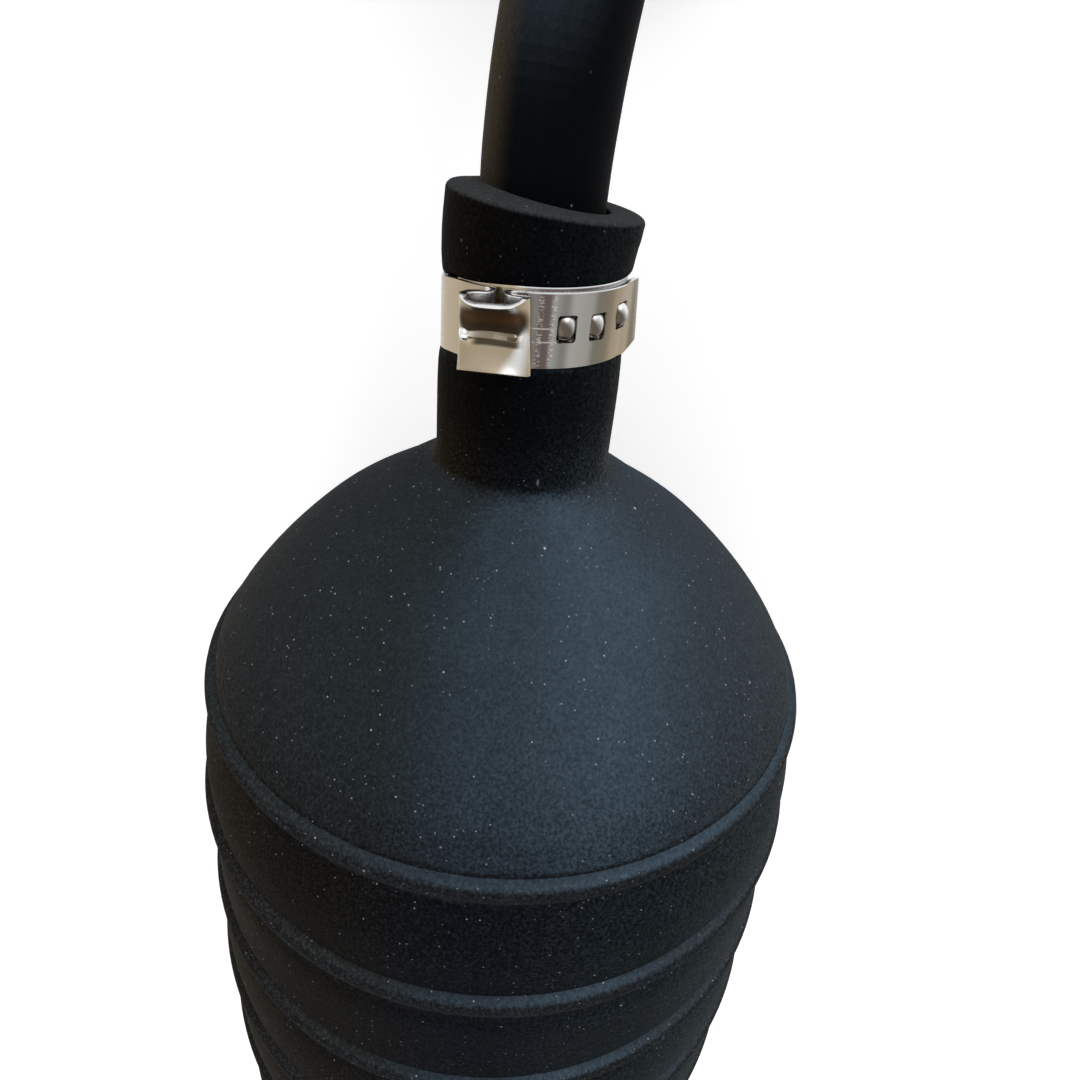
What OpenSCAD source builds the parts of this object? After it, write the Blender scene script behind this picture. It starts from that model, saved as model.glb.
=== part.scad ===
// Siphon bulb pump: a moulded rubber squeeze bulb with a one-way ball valve in each
// neck, a discharge hose clamped into one neck and a free clamp on the other.
//
// The bulb lies on its side. Its axis runs along X at the height axis_z, +Z is up,
// and the origin is on the surface below the middle of the bulb. Liquid flows towards
// +X: the inlet neck is at -X and the discharge neck, with its hose, at +X.

/* [Bulb] */
// Radius of the bulb where its domes begin
dome_r = 36; // [30:0.5:42]
// Extra radius at the middle of the barrel
barrel_swell = 4.8; // [2:0.1:6]
// Number of raised ring beads
bead_count = 9; // [5:2:11]
// Distance from one bead to the next
bead_pitch = 16; // [13:0.5:18]
// Width of a bead along the bulb
bead_w = 3.4; // [2:0.1:5]
// Height of a bead above the wall
bead_h = 1.0; // [0.5:0.1:1.5]
// How far the wall bellies out between two beads
pillow_h = 0.35; // [0:0.05:0.6]
// Height of a dome, had it no neck
dome_h = 30; // [26:0.5:34]
// Fullness of a dome: 1 is a cone, 2 is an ellipse
dome_power = 1.28; // [1.2:0.02:1.6]
// Wall thickness of the barrel
wall = 3.6; // [3:0.1:4.5]

/* [Necks] */
// Outside radius of a neck
neck_r = 9.6; // [9.4:0.1:10.2]
// Distance from the start of a dome to the lip of its neck
neck_reach = 52; // [50:0.5:56]
// Radius of the inlet socket
socket_r = 6.1; // [6.05:0.05:6.3]
// Depth of the clear socket inside the lip
socket_depth = 14; // [12:0.5:15]
// Radius of the fillet between a dome and its neck
neck_fillet = 4; // [3:0.5:6]
// Slant of the discharge lip, in degrees
lip_slant = 6; // [0:0.5:8]

/* [Clamps] */
// Width of a clamp's band
band_w = 7; // [6:0.5:8]
// Thickness of the band
band_t = 0.6; // [0.5:0.05:0.8]
// Distance from the start of a dome to the middle of its clamp
clamp_reach = 42.3; // [41:0.1:43]
// Turn of the crimped ear round the neck from the top, in degrees
ear_turn = 17; // [0:1:60]
// How far the crimped clamp squeezes the neck in, all round
squeeze = 1.3; // [0.5:0.1:1.4]

/* [Hose] */
// Outside radius of the hose
hose_r = 6; // [5.9:0.05:6.05]
// Inside radius of the hose
hose_bore_r = 4; // [4:0.1:4.3]
// Radius of the hank's end loops
loop_r = 36; // [36:1:40]
// Radius of the curls that lead from the tied middle into the loops
curl_r = 48; // [48:1:60]
// Distance between the middles of two hose turns that lie side by side
turn_pitch = 12.6; // [12.5:0.1:13.5]
// Width of the strap that ties the hank
tie_w = 12; // [8:1:16]

/* [Valves] */
// Radius of a valve ball
ball_r = 3.5; // [3:0.1:3.8]
// Travel of a ball from its seat
ball_travel = 2.5; // [1.5:0.1:3]
// Outside radius of a valve housing
housing_r = 6.8; // [6.5:0.1:7.5]
// Radius of the chamber that the ball moves in
chamber_r = 4.6; // [4.4:0.1:5]
// Coils of a valve spring
spring_turns = 5; // [3:1:7]

/* [Hidden] */
$fn = 96;

// Bulb, measured along its axis from its middle
dome_x = (bead_count - 1) / 2 * bead_pitch + bead_w / 2;
lip_x = dome_x + neck_reach;
clamp_x = dome_x + clamp_reach;
axis_z = dome_r + barrel_swell + bead_h;
barrel_arc_r = (dome_x * dome_x + barrel_swell * barrel_swell) / (2 * barrel_swell);
boss_x = dome_x + 18.3;         // flat seat inside each dome
socket_x = lip_x - socket_depth; // end of the clear socket
lip_round = 1.2;
mouth_chamfer = 0.8;
bead_steps = 8;
pillow_steps = 6;
dome_steps = 16;
fillet_steps = 5;

// Clamps
band_seat_r = neck_r - squeeze;
collar_r = neck_r - 0.15;        // the neck's end, past the crimped clamp
open_clamp_r = 10;               // inside radius of a clamp that hasn't been crimped
band_play = 0.3;
window_w = 1.9;
window_len = 2.5;
hook_w = 1.5;
hook_len = 2.1;
window_turns = [38, 58, 80];     // windows past the ear, in degrees
strap_end_turn = 101;            // where the outer layer ends, on the windows' side
tongue_end_turn = 43;            // where the tongue below it ends, on the other side

// Valves, measured outwards along the axis from the middle of the bulb
flange_t = 2;
flange_r = 9.5;
housing_x = boss_x - 20;
spigot_r = 5.8;
spigot_bore_r = 5.85;
clamped_bore_r = 6.05;           // bore of the discharge neck, closed on its hose
spigot_x = boss_x + 7;
tail_len = 10;
tail_r = 3.6;
barb_r = 3.95;
tail_bore_r = 2.4;
narrow_bore_r = 2.2;             // of the inlet tail, whose end backs the seat seal
vent_r = 1.2;                    // hole in the middle of the retainer
vent_ring = 3.2;                 // middle of the holes round it
plug_t = 2;
seal_r = 3.0;                    // middle of a seat seal's section
seal_section_r = 0.75;
seal_pocket_r = seal_r + seal_section_r + 0.05;
seat_gap = 0.14;                 // between a closed ball and its seal
ball_seat = sqrt(pow(ball_r + seal_section_r, 2) - seal_r * seal_r) + seat_gap;
outlet_seal_x = housing_x + 4.2;
outlet_ball_x = outlet_seal_x + ball_seat;
outlet_shoulder_x = boss_x - 2;
inlet_seal_x = boss_x - 4.4;
inlet_ball_x = inlet_seal_x - ball_seat;
inlet_chamber_x = inlet_seal_x + seal_section_r;
retainer_x = housing_x + 2.5;
stop_r = 3.2;                    // bore of the fluted stop that an open ball meets
stop_gap = sqrt(ball_r * ball_r - stop_r * stop_r) + 0.1;
outlet_stop_x = outlet_ball_x + ball_travel + stop_gap;
inlet_stop_x = inlet_ball_x - ball_travel - stop_gap;
flute_w = 1.8;
spring_r = 2.4;
wire_r = 0.25;
spring_rest = sqrt(pow(ball_r + wire_r, 2) - spring_r * spring_r) + 0.15;

// Hose
hose_start_x = spigot_x + 0.4;
hose_end_x = lip_x + 1.2;
hank_x = 258;                    // tied middle of the hank
mid_half = 8;                    // half the straight stretch there
strand_y = turn_pitch / 2;
low_z = hose_r;
high_z = hose_r + turn_pitch;
tie_t = 1.2;
tie_lift = tie_t + 0.1;
lift_reach = 30;
lift_ramp = 24;
tail_curl = 40;                  // how far the free end runs into its last curl
drop_start = 66;                 // the upper turn begins to come down here, past the middle
drop_len = 120;
// Middle of the hose from the lip to the hank, [x, y, z]
hose_run = [
    [119, 0, 41.8], [120.5, 0, 41.8], [122, -0.1, 41.65], [128, -0.5, 40.8],
    [134, -1.2, 39.2], [141, -2.2, 36.7], [151, -3.4, 32.8], [163, -4.5, 28.2],
    [176, -5.3, 23.8], [190, -5.9, 20.3], [204, -6.2, 18.2], [218, -6.3, 17.7],
    [232, -6.3, 18.6], [243, -6.3, 19.6], [250, -6.3, 19.9], [257.9, -6.3, 19.9]
];

// One hank half turn as [length, curvature]: curl out, end loop, curl in
loop_side = atan2(curl_r + strand_y, sqrt(pow(loop_r + curl_r, 2) - pow(curl_r + strand_y, 2)));
curl_turn = 90 - loop_side;
loop_len = loop_r * (180 + 2 * curl_turn) * PI / 180;
curl_len = curl_r * curl_turn * PI / 180;
half_turn = [
    [mid_half, 0], [curl_len, -1 / curl_r], [loop_len, 1 / loop_r], [curl_len, -1 / curl_r], [mid_half, 0]
];
half_len = 2 * mid_half + 2 * curl_len + loop_len;
hank_route = concat(half_turn, half_turn, half_turn, [[mid_half, 0], [tail_curl, -1 / curl_r]]);
hank_len = 3 * half_len + mid_half + tail_curl;

// ---- Profiles ------------------------------------------------------------------

// Wall radius of the barrel, without beads
function barrel_r(x) = dome_r + barrel_swell - barrel_arc_r + sqrt(barrel_arc_r * barrel_arc_r - x * x);

// Outside points of bead i and of the wall up to the next bead
function bead_points(i) =
    let (mid = (i - (bead_count - 1) / 2) * bead_pitch)
    concat(
        [for (k = [0:bead_steps])
            let (u = -cos(180 * k / bead_steps), x = mid + u * bead_w / 2)
            [x, barrel_r(x) + bead_h * sqrt(max(0, 1 - u * u))]],
        i == bead_count - 1 ? [] :
        [for (k = [1:pillow_steps - 1])
            let (x = mid + bead_w / 2 + k / pillow_steps * (bead_pitch - bead_w))
            [x, barrel_r(x) + pillow_h * sin(180 * k / pillow_steps)]]
    );

// Radius of a dome of base radius r and height h, at the distance s above its base
function dome_radius(s, r, h) = r * pow(1 - pow(s / h, dome_power), 1 / dome_power);

// Distance above the base at which a dome has the radius q
function dome_at(q, r, h) = h * pow(1 - pow(q / r, dome_power), 1 / dome_power);

// The neck fillet leaves the dome at this radius, and reaches the neck past it
fillet_rise = 0.35;              // share of the fillet's radius that it rises from the neck
fillet_reach = 0.75;             // share of it that the fillet takes up along the axis
fillet_s = dome_at(neck_r + neck_fillet * fillet_rise, dome_r, dome_h);
fillet_r0 = dome_radius(fillet_s, dome_r, dome_h);
fillet_len = neck_fillet * fillet_reach;

// Outside points of the dome at +X, from its base to the end of its neck
function dome_points() = concat(
    [for (k = [1:dome_steps])
        let (s = fillet_s * (1 - pow(1 - k / dome_steps, 1.4)))
        [dome_x + s, dome_radius(s, dome_r, dome_h)]],
    [for (k = [1:fillet_steps])
        let (u = k / fillet_steps)
        [dome_x + fillet_s + fillet_len * u, neck_r + (fillet_r0 - neck_r) * pow(1 - u, 2)]]
);

// Outside points of a neck's waist, where the crimped clamp squeezes it
waist_points = let (from = clamp_x - band_w / 2 - band_play, to = clamp_x + band_w / 2 + band_play) [
    [from - 4, neck_r], [from - 0.8, neck_r - 0.25], [from, band_seat_r],
    [to, band_seat_r], [to + 0.6, collar_r - 0.35], [to + 2, collar_r]
];

// Outside points of a neck's rounded lip at the radius r
function lip_points(r) = [
    [lip_x - lip_round, r], [lip_x - 0.35 * lip_round, r - 0.3 * lip_round], [lip_x, r - lip_round]
];

// A neck bore's points from the lip in to the boss: hose stretch, then valve spigot
function bore_points(hose_bore, step_x) = [
    [lip_x, hose_bore + mouth_chamfer], [lip_x - mouth_chamfer, hose_bore],
    [step_x, hose_bore], [step_x, spigot_bore_r], [boss_x, spigot_bore_r]
];

// Inside points of the dome at +X, from the boss to its base
function inner_dome_points() =
    let (r = dome_r - wall, h = dome_h - 4)
    [for (k = [0:8])
        let (s = (boss_x - dome_x) * (1 - k / 8))
        [dome_x + s, dome_radius(s, r, h)]];

function mirrored(points) = [for (i = [len(points) - 1:-1:0]) [-points[i][0], points[i][1]]];

// ---- Tubes along a route -------------------------------------------------------

function unit(v) = v / norm(v);
function heading(p, i) = unit(p[min(i + 1, len(p) - 1)] - p[max(i - 1, 0)]);
function ring_points(p, i, r, sides, up) =
    let (t = heading(p, i), s = unit(cross(up, t)), u = cross(t, s))
    [for (k = [0:sides - 1])
        let (a = 360 * k / sides + 30)
        p[i] + r * (cos(a) * s + sin(a) * u)];

// A closed tube of radius r whose middle follows the points p
module tube(p, r, sides, up = [0, 0, 1]) {
    m = len(p);
    last = (m - 1) * sides;
    polyhedron(
        points = [for (i = [0:m - 1]) each ring_points(p, i, r, sides, up)],
        faces = concat(
            [for (i = [0:m - 2], k = [0:sides - 1])
                let (a = i * sides + k, b = i * sides + (k + 1) % sides)
                each [[a, b, a + sides], [b, b + sides, a + sides]]],
            [for (k = [1:sides - 2]) [0, k + 1, k]],
            [for (k = [1:sides - 2]) [last, last + k, last + k + 1]]
        )
    );
}

// The pose [x, y, angle] after a stretch [length, curvature]
function moved(pose, stretch) =
    let (x = pose[0], y = pose[1], a = pose[2], len = stretch[0], c = stretch[1])
    c == 0 ? [x + len * cos(a), y + len * sin(a), a] :
    let (b = a + len * c * 180 / PI)
    [x + (sin(b) - sin(a)) / c, y - (cos(b) - cos(a)) / c, b];

// The pose at the distance s along a route of stretches
function pose_at(pose, route, s, i = 0) =
    i == len(route) - 1 || s <= route[i][0]
    ? moved(pose, [s, route[i][1]])
    : pose_at(moved(pose, route[i]), route, s - route[i][0], i + 1);

function smooth(u) = let (v = max(0, min(1, u))) v * v * (3 - 2 * v);

// Rise of every strand over the strap that passes under the tied middle
function lift(x) = tie_lift * smooth((lift_reach - abs(x - hank_x)) / lift_ramp);

// Point of the hank's middle line at the distance s
function hank_point(s) =
    let (
        p = pose_at([hank_x, -strand_y, 0], hank_route, s),
        down = smooth((s - half_len - drop_start) / drop_len)
    )
    [p[0], p[1], high_z - (high_z - low_z) * down + lift(p[0])];

// Distances of the hank's rings in a half turn, closer together in the loop
ring_stations = concat(
    [mid_half],
    [for (k = [1:2]) mid_half + curl_len * k / 2],
    [for (k = [1:8]) mid_half + curl_len + loop_len * k / 8],
    [for (k = [1:2]) mid_half + curl_len + loop_len + curl_len * k / 2]
);
hank_stations = concat(
    [0],
    [for (n = [0:2], s = ring_stations) n * half_len + s],
    [3 * half_len + mid_half, hank_len - tail_curl / 2, hank_len]
);
hank_points = [for (s = hank_stations) hank_point(s)];

// Least gap between stretches of the hose that aren't neighbours
gap_step = 4;
hose_check = concat(
    [for (p = hose_run) p],
    [for (s = [gap_step:gap_step:hank_len]) hank_point(s)]
);
least_apart = min([
    for (i = [0:len(hose_check) - 1])
        for (j = [i + 12:1:len(hose_check) - 1])
            norm(hose_check[i] - hose_check[j])
]);
echo(hose_least_gap_mm = least_apart - 2 * hose_r);
echo(hank_length_mm = hank_len);

// ---- Placement -----------------------------------------------------------------

// Turns a shape whose axis is Z so that it lies on the bulb's axis, pointing along +X
module along_x() {
    translate([0, 0, axis_z]) rotate([0, 90, 0]) children();
}

// The same for the inlet side: distances still run outwards from the middle
module along_minus_x() {
    translate([0, 0, axis_z]) rotate([0, -90, 0]) children();
}

// A solid of revolution from [distance along the axis, radius] points
module turned(points) {
    rotate_extrude($fn = 128) polygon([for (p = points) [p[1], p[0]]]);
}

// ---- Bulb ----------------------------------------------------------------------

module bulb() {
    outer_half = concat(dome_points(), waist_points, lip_points(collar_r));
    inlet_half = concat(dome_points(), lip_points(neck_r));
    barrel = [for (i = [0:bead_count - 1]) each bead_points(i)];
    inner = concat(
        bore_points(clamped_bore_r, spigot_x + 0.2), inner_dome_points(),
        [for (k = [1:9]) let (x = dome_x * (1 - k / 5)) [x, barrel_r(x) - wall]],
        mirrored(inner_dome_points()), mirrored(bore_points(socket_r, socket_x))
    );
    color([0.10, 0.11, 0.12])
    difference() {
        along_x() turned(concat(mirrored(inlet_half), barrel, outer_half, inner));
        // slanted cut across the discharge lip, which leaves its +Y side the longer
        translate([lip_x - neck_r * tan(lip_slant), 0, axis_z]) rotate([0, 0, -lip_slant])
            translate([0, -20, -20]) cube([10, 40, 40]);
    }
}

// ---- Clamps --------------------------------------------------------------------

// Outline of an ear as [along the band, out from it]; half of it, from the top down
crimped_ear = [
    [0, 2.44], [2.15, 2.44], [2.75, 2.3], [3.2, 1.8], [3.05, 1.2], [2.6, 0.72], [2.1, 0.45],
    [1.5, 0.25], [1.04, 0.1], [1.4, -0.08], [2.6, -0.4], [2.6, -0.95]
];
crimped_ear_inside = [
    [0, 1.84], [2.0, 1.84], [2.4, 1.74], [2.6, 1.6], [2.5, 1.4], [2.25, 1.17], [1.9, 1.03],
    [1.35, 0.87], [0.75, 0.75], [0.44, 0.4], [0.44, -0.7]
];
open_ear = [[0, 4.2], [3.0, 4.2], [3.8, 3.7], [4.2, 2.6], [4.6, 0.8], [5.0, -0.7], [5.5, -1.5], [5.5, -1.7]];
open_ear_inside = [[0, 3.6], [2.8, 3.6], [3.3, 3.3], [3.6, 2.5], [4.0, 0.6], [4.4, -0.7], [4.5, -1.7]];

function both_sides(half) = concat(half, [for (i = [len(half) - 1:-1:1]) [-half[i][0], half[i][1]]]);

// A pie slice from one angle to another, for parts of a ring
module slice(from, to, r, h) {
    steps = 6;
    linear_extrude(h)
        polygon(concat([[0, 0]], [for (k = [0:steps]) let (a = from + (to - from) * k / steps) r * [cos(a), sin(a)]]));
}

// An ear clamp round Z, its ear at angle 0: one strap whose outer layer carries the
// ear and the windows, and whose inner tongue runs on under the ear.
module ear_clamp(inside_r, ear, ear_inside, ear_half_turn) {
    outer_r = inside_r + 2 * band_t;
    difference() {
        union() {
            // inner layer, all the way round
            difference() {
                cylinder(r = inside_r + band_t, h = band_w);
                translate([0, 0, -1]) cylinder(r = inside_r, h = band_w + 2);
            }
            // outer layer, doubled over the overlap
            difference() {
                cylinder(r = outer_r, h = band_w);
                translate([0, 0, -1]) cylinder(r = inside_r + band_t - 0.02, h = band_w + 2);
                translate([0, 0, -1]) slice(-ear_half_turn, ear_half_turn, 2 * outer_r, band_w + 2);
                translate([0, 0, -1]) slice(strap_end_turn, 210, 2 * outer_r, band_w + 2);
                translate([0, 0, -1]) slice(210, 360 - tongue_end_turn, 2 * outer_r, band_w + 2);
            }
            // ear
            linear_extrude(band_w)
                translate([outer_r, 0])
                rotate(-90)
                difference() {
                    polygon(both_sides(ear));
                    polygon(both_sides(ear_inside));
                }
        }
        // windows in the outer layer, each with its hook below
        for (turn = window_turns)
            rotate(turn) translate([inside_r + band_t + 0.05, -window_w / 2, (band_w - window_len) / 2])
                cube([2 * band_t, window_w, window_len]);
    }
    for (turn = window_turns)
        rotate(turn) translate([inside_r + band_t - 0.05, -hook_w / 2, (band_w - hook_len) / 2])
            cube([band_t - 0.05, hook_w, hook_len]);
}

module discharge_clamp() {
    color([0.75, 0.73, 0.70])
    translate([clamp_x - band_w / 2, 0, axis_z])
        rotate([-ear_turn, 0, 0]) rotate([0, 90, 0]) rotate(180)
        ear_clamp(band_seat_r + 0.02, crimped_ear, crimped_ear_inside, 13);
}

// The free clamp hangs on the neck, so it sits lower than the axis by its slack
module inlet_clamp() {
    color([0.75, 0.73, 0.70])
    translate([-clamp_x - band_w / 2, 0, axis_z - (open_clamp_r - neck_r) + 0.02])
        rotate([-20, 0, 0]) rotate([0, 90, 0]) rotate(180)
        ear_clamp(open_clamp_r, open_ear, open_ear_inside, 24);
}

// ---- Valves --------------------------------------------------------------------

// Outside of a valve body from its inner end to its barbed tail, as [x, r]
function body_outline() = [
    [housing_x, housing_r - 0.4], [housing_x + 0.4, housing_r], [boss_x - flange_t, housing_r],
    [boss_x - flange_t, flange_r - 0.3], [boss_x - flange_t + 0.3, flange_r], [boss_x, flange_r],
    [boss_x, spigot_r], [spigot_x, spigot_r], [spigot_x, tail_r],
    [spigot_x + 1.5, tail_r], [spigot_x + 1.5, barb_r], [spigot_x + 4, tail_r],
    [spigot_x + 5, tail_r], [spigot_x + 5, barb_r], [spigot_x + 7.5, tail_r],
    [spigot_x + tail_len - 0.6, tail_r], [spigot_x + tail_len, tail_r - 0.6]
];

// Slots that let the liquid past an open ball, between two distances along the axis
module flutes(from, to) {
    for (turn = [0, 90])
        rotate(turn) translate([-chamber_r, -flute_w / 2, from]) cube([2 * chamber_r, flute_w, to - from]);
}

module outlet_valve_body() {
    color([0.82, 0.80, 0.72])
    along_x() difference() {
        turned(concat(body_outline(), [
            [spigot_x + tail_len, tail_bore_r], [outlet_shoulder_x, tail_bore_r],
            [outlet_shoulder_x, stop_r], [outlet_stop_x, stop_r],
            [outlet_stop_x, chamber_r], [housing_x, chamber_r]
        ]));
        flutes(outlet_stop_x - 1, outlet_shoulder_x);
    }
}

module inlet_valve_body() {
    color([0.82, 0.80, 0.72])
    along_minus_x() turned(concat(body_outline(), [
        [spigot_x + tail_len, narrow_bore_r], [inlet_chamber_x, narrow_bore_r],
        [inlet_chamber_x, seal_pocket_r], [inlet_seal_x - 0.3, seal_pocket_r],
        [inlet_seal_x - 0.3, chamber_r], [housing_x, chamber_r]
    ]));
}

// Plug that closes the outlet valve's inner end and holds the seat seal
module outlet_valve_seat() {
    color([0.30, 0.32, 0.35])
    along_x() turned([
        [housing_x - plug_t, tail_bore_r], [housing_x - plug_t, housing_r - 0.4],
        [housing_x - plug_t + 0.4, housing_r], [housing_x, housing_r],
        [housing_x, chamber_r - 0.03], [outlet_seal_x + 0.3, chamber_r - 0.03],
        [outlet_seal_x + 0.3, seal_pocket_r],
        [outlet_seal_x - seal_section_r, seal_pocket_r],
        [outlet_seal_x - seal_section_r, tail_bore_r]
    ]);
}

// Cap that closes the inlet valve's inner end, backs its spring and stops its ball
module inlet_valve_retainer() {
    color([0.30, 0.32, 0.35])
    along_minus_x() difference() {
        turned([
            [housing_x - plug_t, vent_r], [housing_x - plug_t, housing_r - 0.4],
            [housing_x - plug_t + 0.4, housing_r], [housing_x, housing_r],
            [housing_x, chamber_r - 0.03], [inlet_stop_x, chamber_r - 0.03],
            [inlet_stop_x, stop_r], [retainer_x, stop_r], [retainer_x, vent_r]
        ]);
        flutes(retainer_x, inlet_stop_x + 1);
        for (k = [0:3]) rotate(90 * k) translate([vent_ring, 0, housing_x - plug_t - 1])
            cylinder(r = flute_w / 2, h = 8, $fn = 32);
    }
}

module seat_seal(x) {
    translate([0, 0, x]) rotate_extrude() translate([seal_r, 0]) circle(r = seal_section_r, $fn = 32);
}

module outlet_valve_seal() { color([0.16, 0.12, 0.10]) along_x() seat_seal(outlet_seal_x); }

module inlet_valve_seal() { color([0.16, 0.12, 0.10]) along_minus_x() seat_seal(inlet_seal_x); }

module outlet_valve_ball() { color([0.80, 0.82, 0.84]) along_x() translate([0, 0, outlet_ball_x]) sphere(ball_r); }

module inlet_valve_ball() { color([0.80, 0.82, 0.84]) along_minus_x() translate([0, 0, inlet_ball_x]) sphere(ball_r); }

// A coil spring round Z between two heights, its ends inside them
module coil_spring(from, to) {
    per_turn = 8;
    steps = spring_turns * per_turn;
    low = from + wire_r;
    rise = to - from - 2 * wire_r;
    tube(
        [for (k = [0:steps])
            let (a = 360 * k / per_turn)
            [spring_r * cos(a), spring_r * sin(a), low + rise * k / steps]],
        wire_r, 6
    );
}

module outlet_valve_spring() {
    color([0.70, 0.70, 0.72]) along_x() coil_spring(outlet_ball_x + spring_rest - wire_r, outlet_shoulder_x - 0.03);
}

module inlet_valve_spring() {
    color([0.70, 0.70, 0.72]) along_minus_x() coil_spring(retainer_x + 0.03, inlet_ball_x - spring_rest + wire_r);
}

// ---- Hose ----------------------------------------------------------------------

// A straight piece of hose along Z from one height to another
module hose_pipe(from, to) {
    translate([0, 0, from]) difference() {
        cylinder(r = hose_r, h = to - from);
        translate([0, 0, -1]) cylinder(r = hose_bore_r, h = to - from + 2);
    }
}

module discharge_hose_end() { color([0.09, 0.09, 0.09]) along_x() hose_pipe(hose_start_x, hose_end_x); }

module discharge_hose_run() { color([0.09, 0.09, 0.09]) tube(hose_run, hose_r, 10); }

module discharge_hose_hank() { color([0.09, 0.09, 0.09]) tube(hank_points, hose_r, 6); }

// Strap round the four strands at the middle of the hank
module hose_tie() {
    across = 2 * (strand_y + hose_r) + 0.2;
    color([0.16, 0.16, 0.17])
    translate([hank_x - tie_w / 2, 0, 0]) rotate([90, 0, 90]) linear_extrude(tie_w) difference() {
        tie_outline(across / 2 + tie_t, 0, across + 2 * tie_t, hose_r + tie_t);
        tie_outline(across / 2, tie_t, across, hose_r);
    }
}

// A rounded rectangle: half its width, the height of its lower edge, its height and corner radius
module tie_outline(half_w, low, high, r) {
    hull() for (side = [-1, 1], top = [0, 1])
        translate([side * (half_w - r), low + (top == 1 ? high - r : r)]) circle(r = r, $fn = 32);
}

bulb();
discharge_clamp();
inlet_clamp();
outlet_valve_body();
outlet_valve_seat();
outlet_valve_seal();
outlet_valve_ball();
outlet_valve_spring();
inlet_valve_body();
inlet_valve_retainer();
inlet_valve_seal();
inlet_valve_ball();
inlet_valve_spring();
discharge_hose_end();
discharge_hose_run();
discharge_hose_hank();
hose_tie();
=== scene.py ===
"""Siphon bulb pump: the finished surfaces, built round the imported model.

A ribbed black rubber squeeze bulb lies on its side. A hose leaves its discharge neck,
held by a crimped ear clamp, and is put away in a tied hank. The row frame has the bulb's
axis along +X, +Z up and its origin on the surface below the middle of the bulb. Sizes of
pieces are millimetres until a mesh is finished, and metres from then on, as in materials.
"""

import bisect
import logging
import math
from dataclasses import dataclass, replace
from enum import Enum
from functools import reduce
from itertools import accumulate
from typing import Sequence

import bmesh
import bpy
from mathutils import Matrix, Vector


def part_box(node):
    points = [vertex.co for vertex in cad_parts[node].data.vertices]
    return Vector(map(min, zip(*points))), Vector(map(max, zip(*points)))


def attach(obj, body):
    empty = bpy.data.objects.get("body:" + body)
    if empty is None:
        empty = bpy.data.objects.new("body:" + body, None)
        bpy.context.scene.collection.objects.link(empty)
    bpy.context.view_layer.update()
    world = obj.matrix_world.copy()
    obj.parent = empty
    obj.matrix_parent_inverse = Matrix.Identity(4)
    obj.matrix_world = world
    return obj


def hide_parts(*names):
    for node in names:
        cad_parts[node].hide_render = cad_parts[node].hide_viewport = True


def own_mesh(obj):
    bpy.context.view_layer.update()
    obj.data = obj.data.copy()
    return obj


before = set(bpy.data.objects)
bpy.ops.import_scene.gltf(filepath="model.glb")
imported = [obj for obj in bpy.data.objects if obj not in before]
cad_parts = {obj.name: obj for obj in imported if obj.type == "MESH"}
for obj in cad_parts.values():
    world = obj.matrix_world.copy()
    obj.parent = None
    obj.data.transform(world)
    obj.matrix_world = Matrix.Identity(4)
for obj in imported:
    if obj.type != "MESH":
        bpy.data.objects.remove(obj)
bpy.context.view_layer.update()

MM = 0.001
TINY = 1e-9
PUMP = "pump"
# The ear's place on a strap whose ear has no dirt and no painted light or shade.
PLAIN_EAR = 100.0
LOG = logging.getLogger("siphon_bulb_pump")

Colour = tuple[float, float, float]
Point = tuple[float, float, float]
Pair = tuple[float, float]
Range = Pair
Stops = tuple[tuple[float, Colour], ...]
Outline = list[Pair]
Line = list[tuple[float, Vector]]
Socket = bpy.types.NodeSocket
Number = Socket | float

WHITE = (1.0, 1.0, 1.0)
ALIKE = (1.0, 1.0, 1.0)


class Slot(Enum):
    """The material slots that the new pieces take their finish from."""

    BULB_RUBBER = "bulb_rubber"
    HOSE_RUBBER = "hose_rubber"
    CLAMP_STEEL = "clamp_steel"
    SPRING_STEEL = "spring_steel"
    TIE_FABRIC = "tie_fabric"


# ---- Small sums ---------------------------------------------------------------------


def smooth(u: float) -> float:
    """Smooth step from 0 at u = 0 to 1 at u = 1."""
    v = min(1.0, max(0.0, u))
    return v * v * (3 - 2 * v)


def ramp(value: float, low: float, high: float) -> float:
    """Takes low to 0 and high to 1, smoothly, and cuts off outside them."""
    return smooth((value - low) / (high - low))


def mix(a: float, b: float, share: float) -> float:
    """The number a given share of the way from a to b."""
    return a + (b - a) * share


def quarter_turn(steps: int) -> list[float]:
    """Angles over a quarter turn in equal steps, both ends included."""
    return [math.pi / 2 * k / steps for k in range(steps + 1)]


def outward(turn: float) -> Vector:
    """Outwards from the bulb's axis at a turn in degrees from the top, towards +Y."""
    return Vector((0, math.sin(math.radians(turn)), math.cos(math.radians(turn))))


def onward(turn: float) -> Vector:
    """Round the bulb's axis at that turn."""
    return Vector((0, math.cos(math.radians(turn)), -math.sin(math.radians(turn))))


def distances(points: Sequence[Vector]) -> list[float]:
    """How far along their line each of the points lies."""
    return [0.0, *accumulate((b - a).length for a, b in zip(points, points[1:]))]


def spline(points: Sequence[Vector], steps: int) -> list[Vector]:
    """Points on a smooth curve through the given ones.

    Args:
        points: What the curve goes through, in order.
        steps: Stretches between one given point and the next.

    Returns:
        The curve's points, both ends included.
    """
    curve = []
    for i in range(len(points) - 1):
        before = points[i - 1] if i else points[0] * 2 - points[1]
        a, b = points[i], points[i + 1]
        after = points[i + 2] if i + 2 < len(points) else b * 2 - a
        for k in range(steps):
            t = k / steps
            curve.append(
                0.5 * (2 * a + (b - before) * t + (2 * before - 5 * a + 4 * b - after) * t ** 2
                       + (3 * a - before - 3 * b + after) * t ** 3)
            )
    curve.append(points[-1].copy())
    return curve


# ---- Node materials -----------------------------------------------------------------


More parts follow.
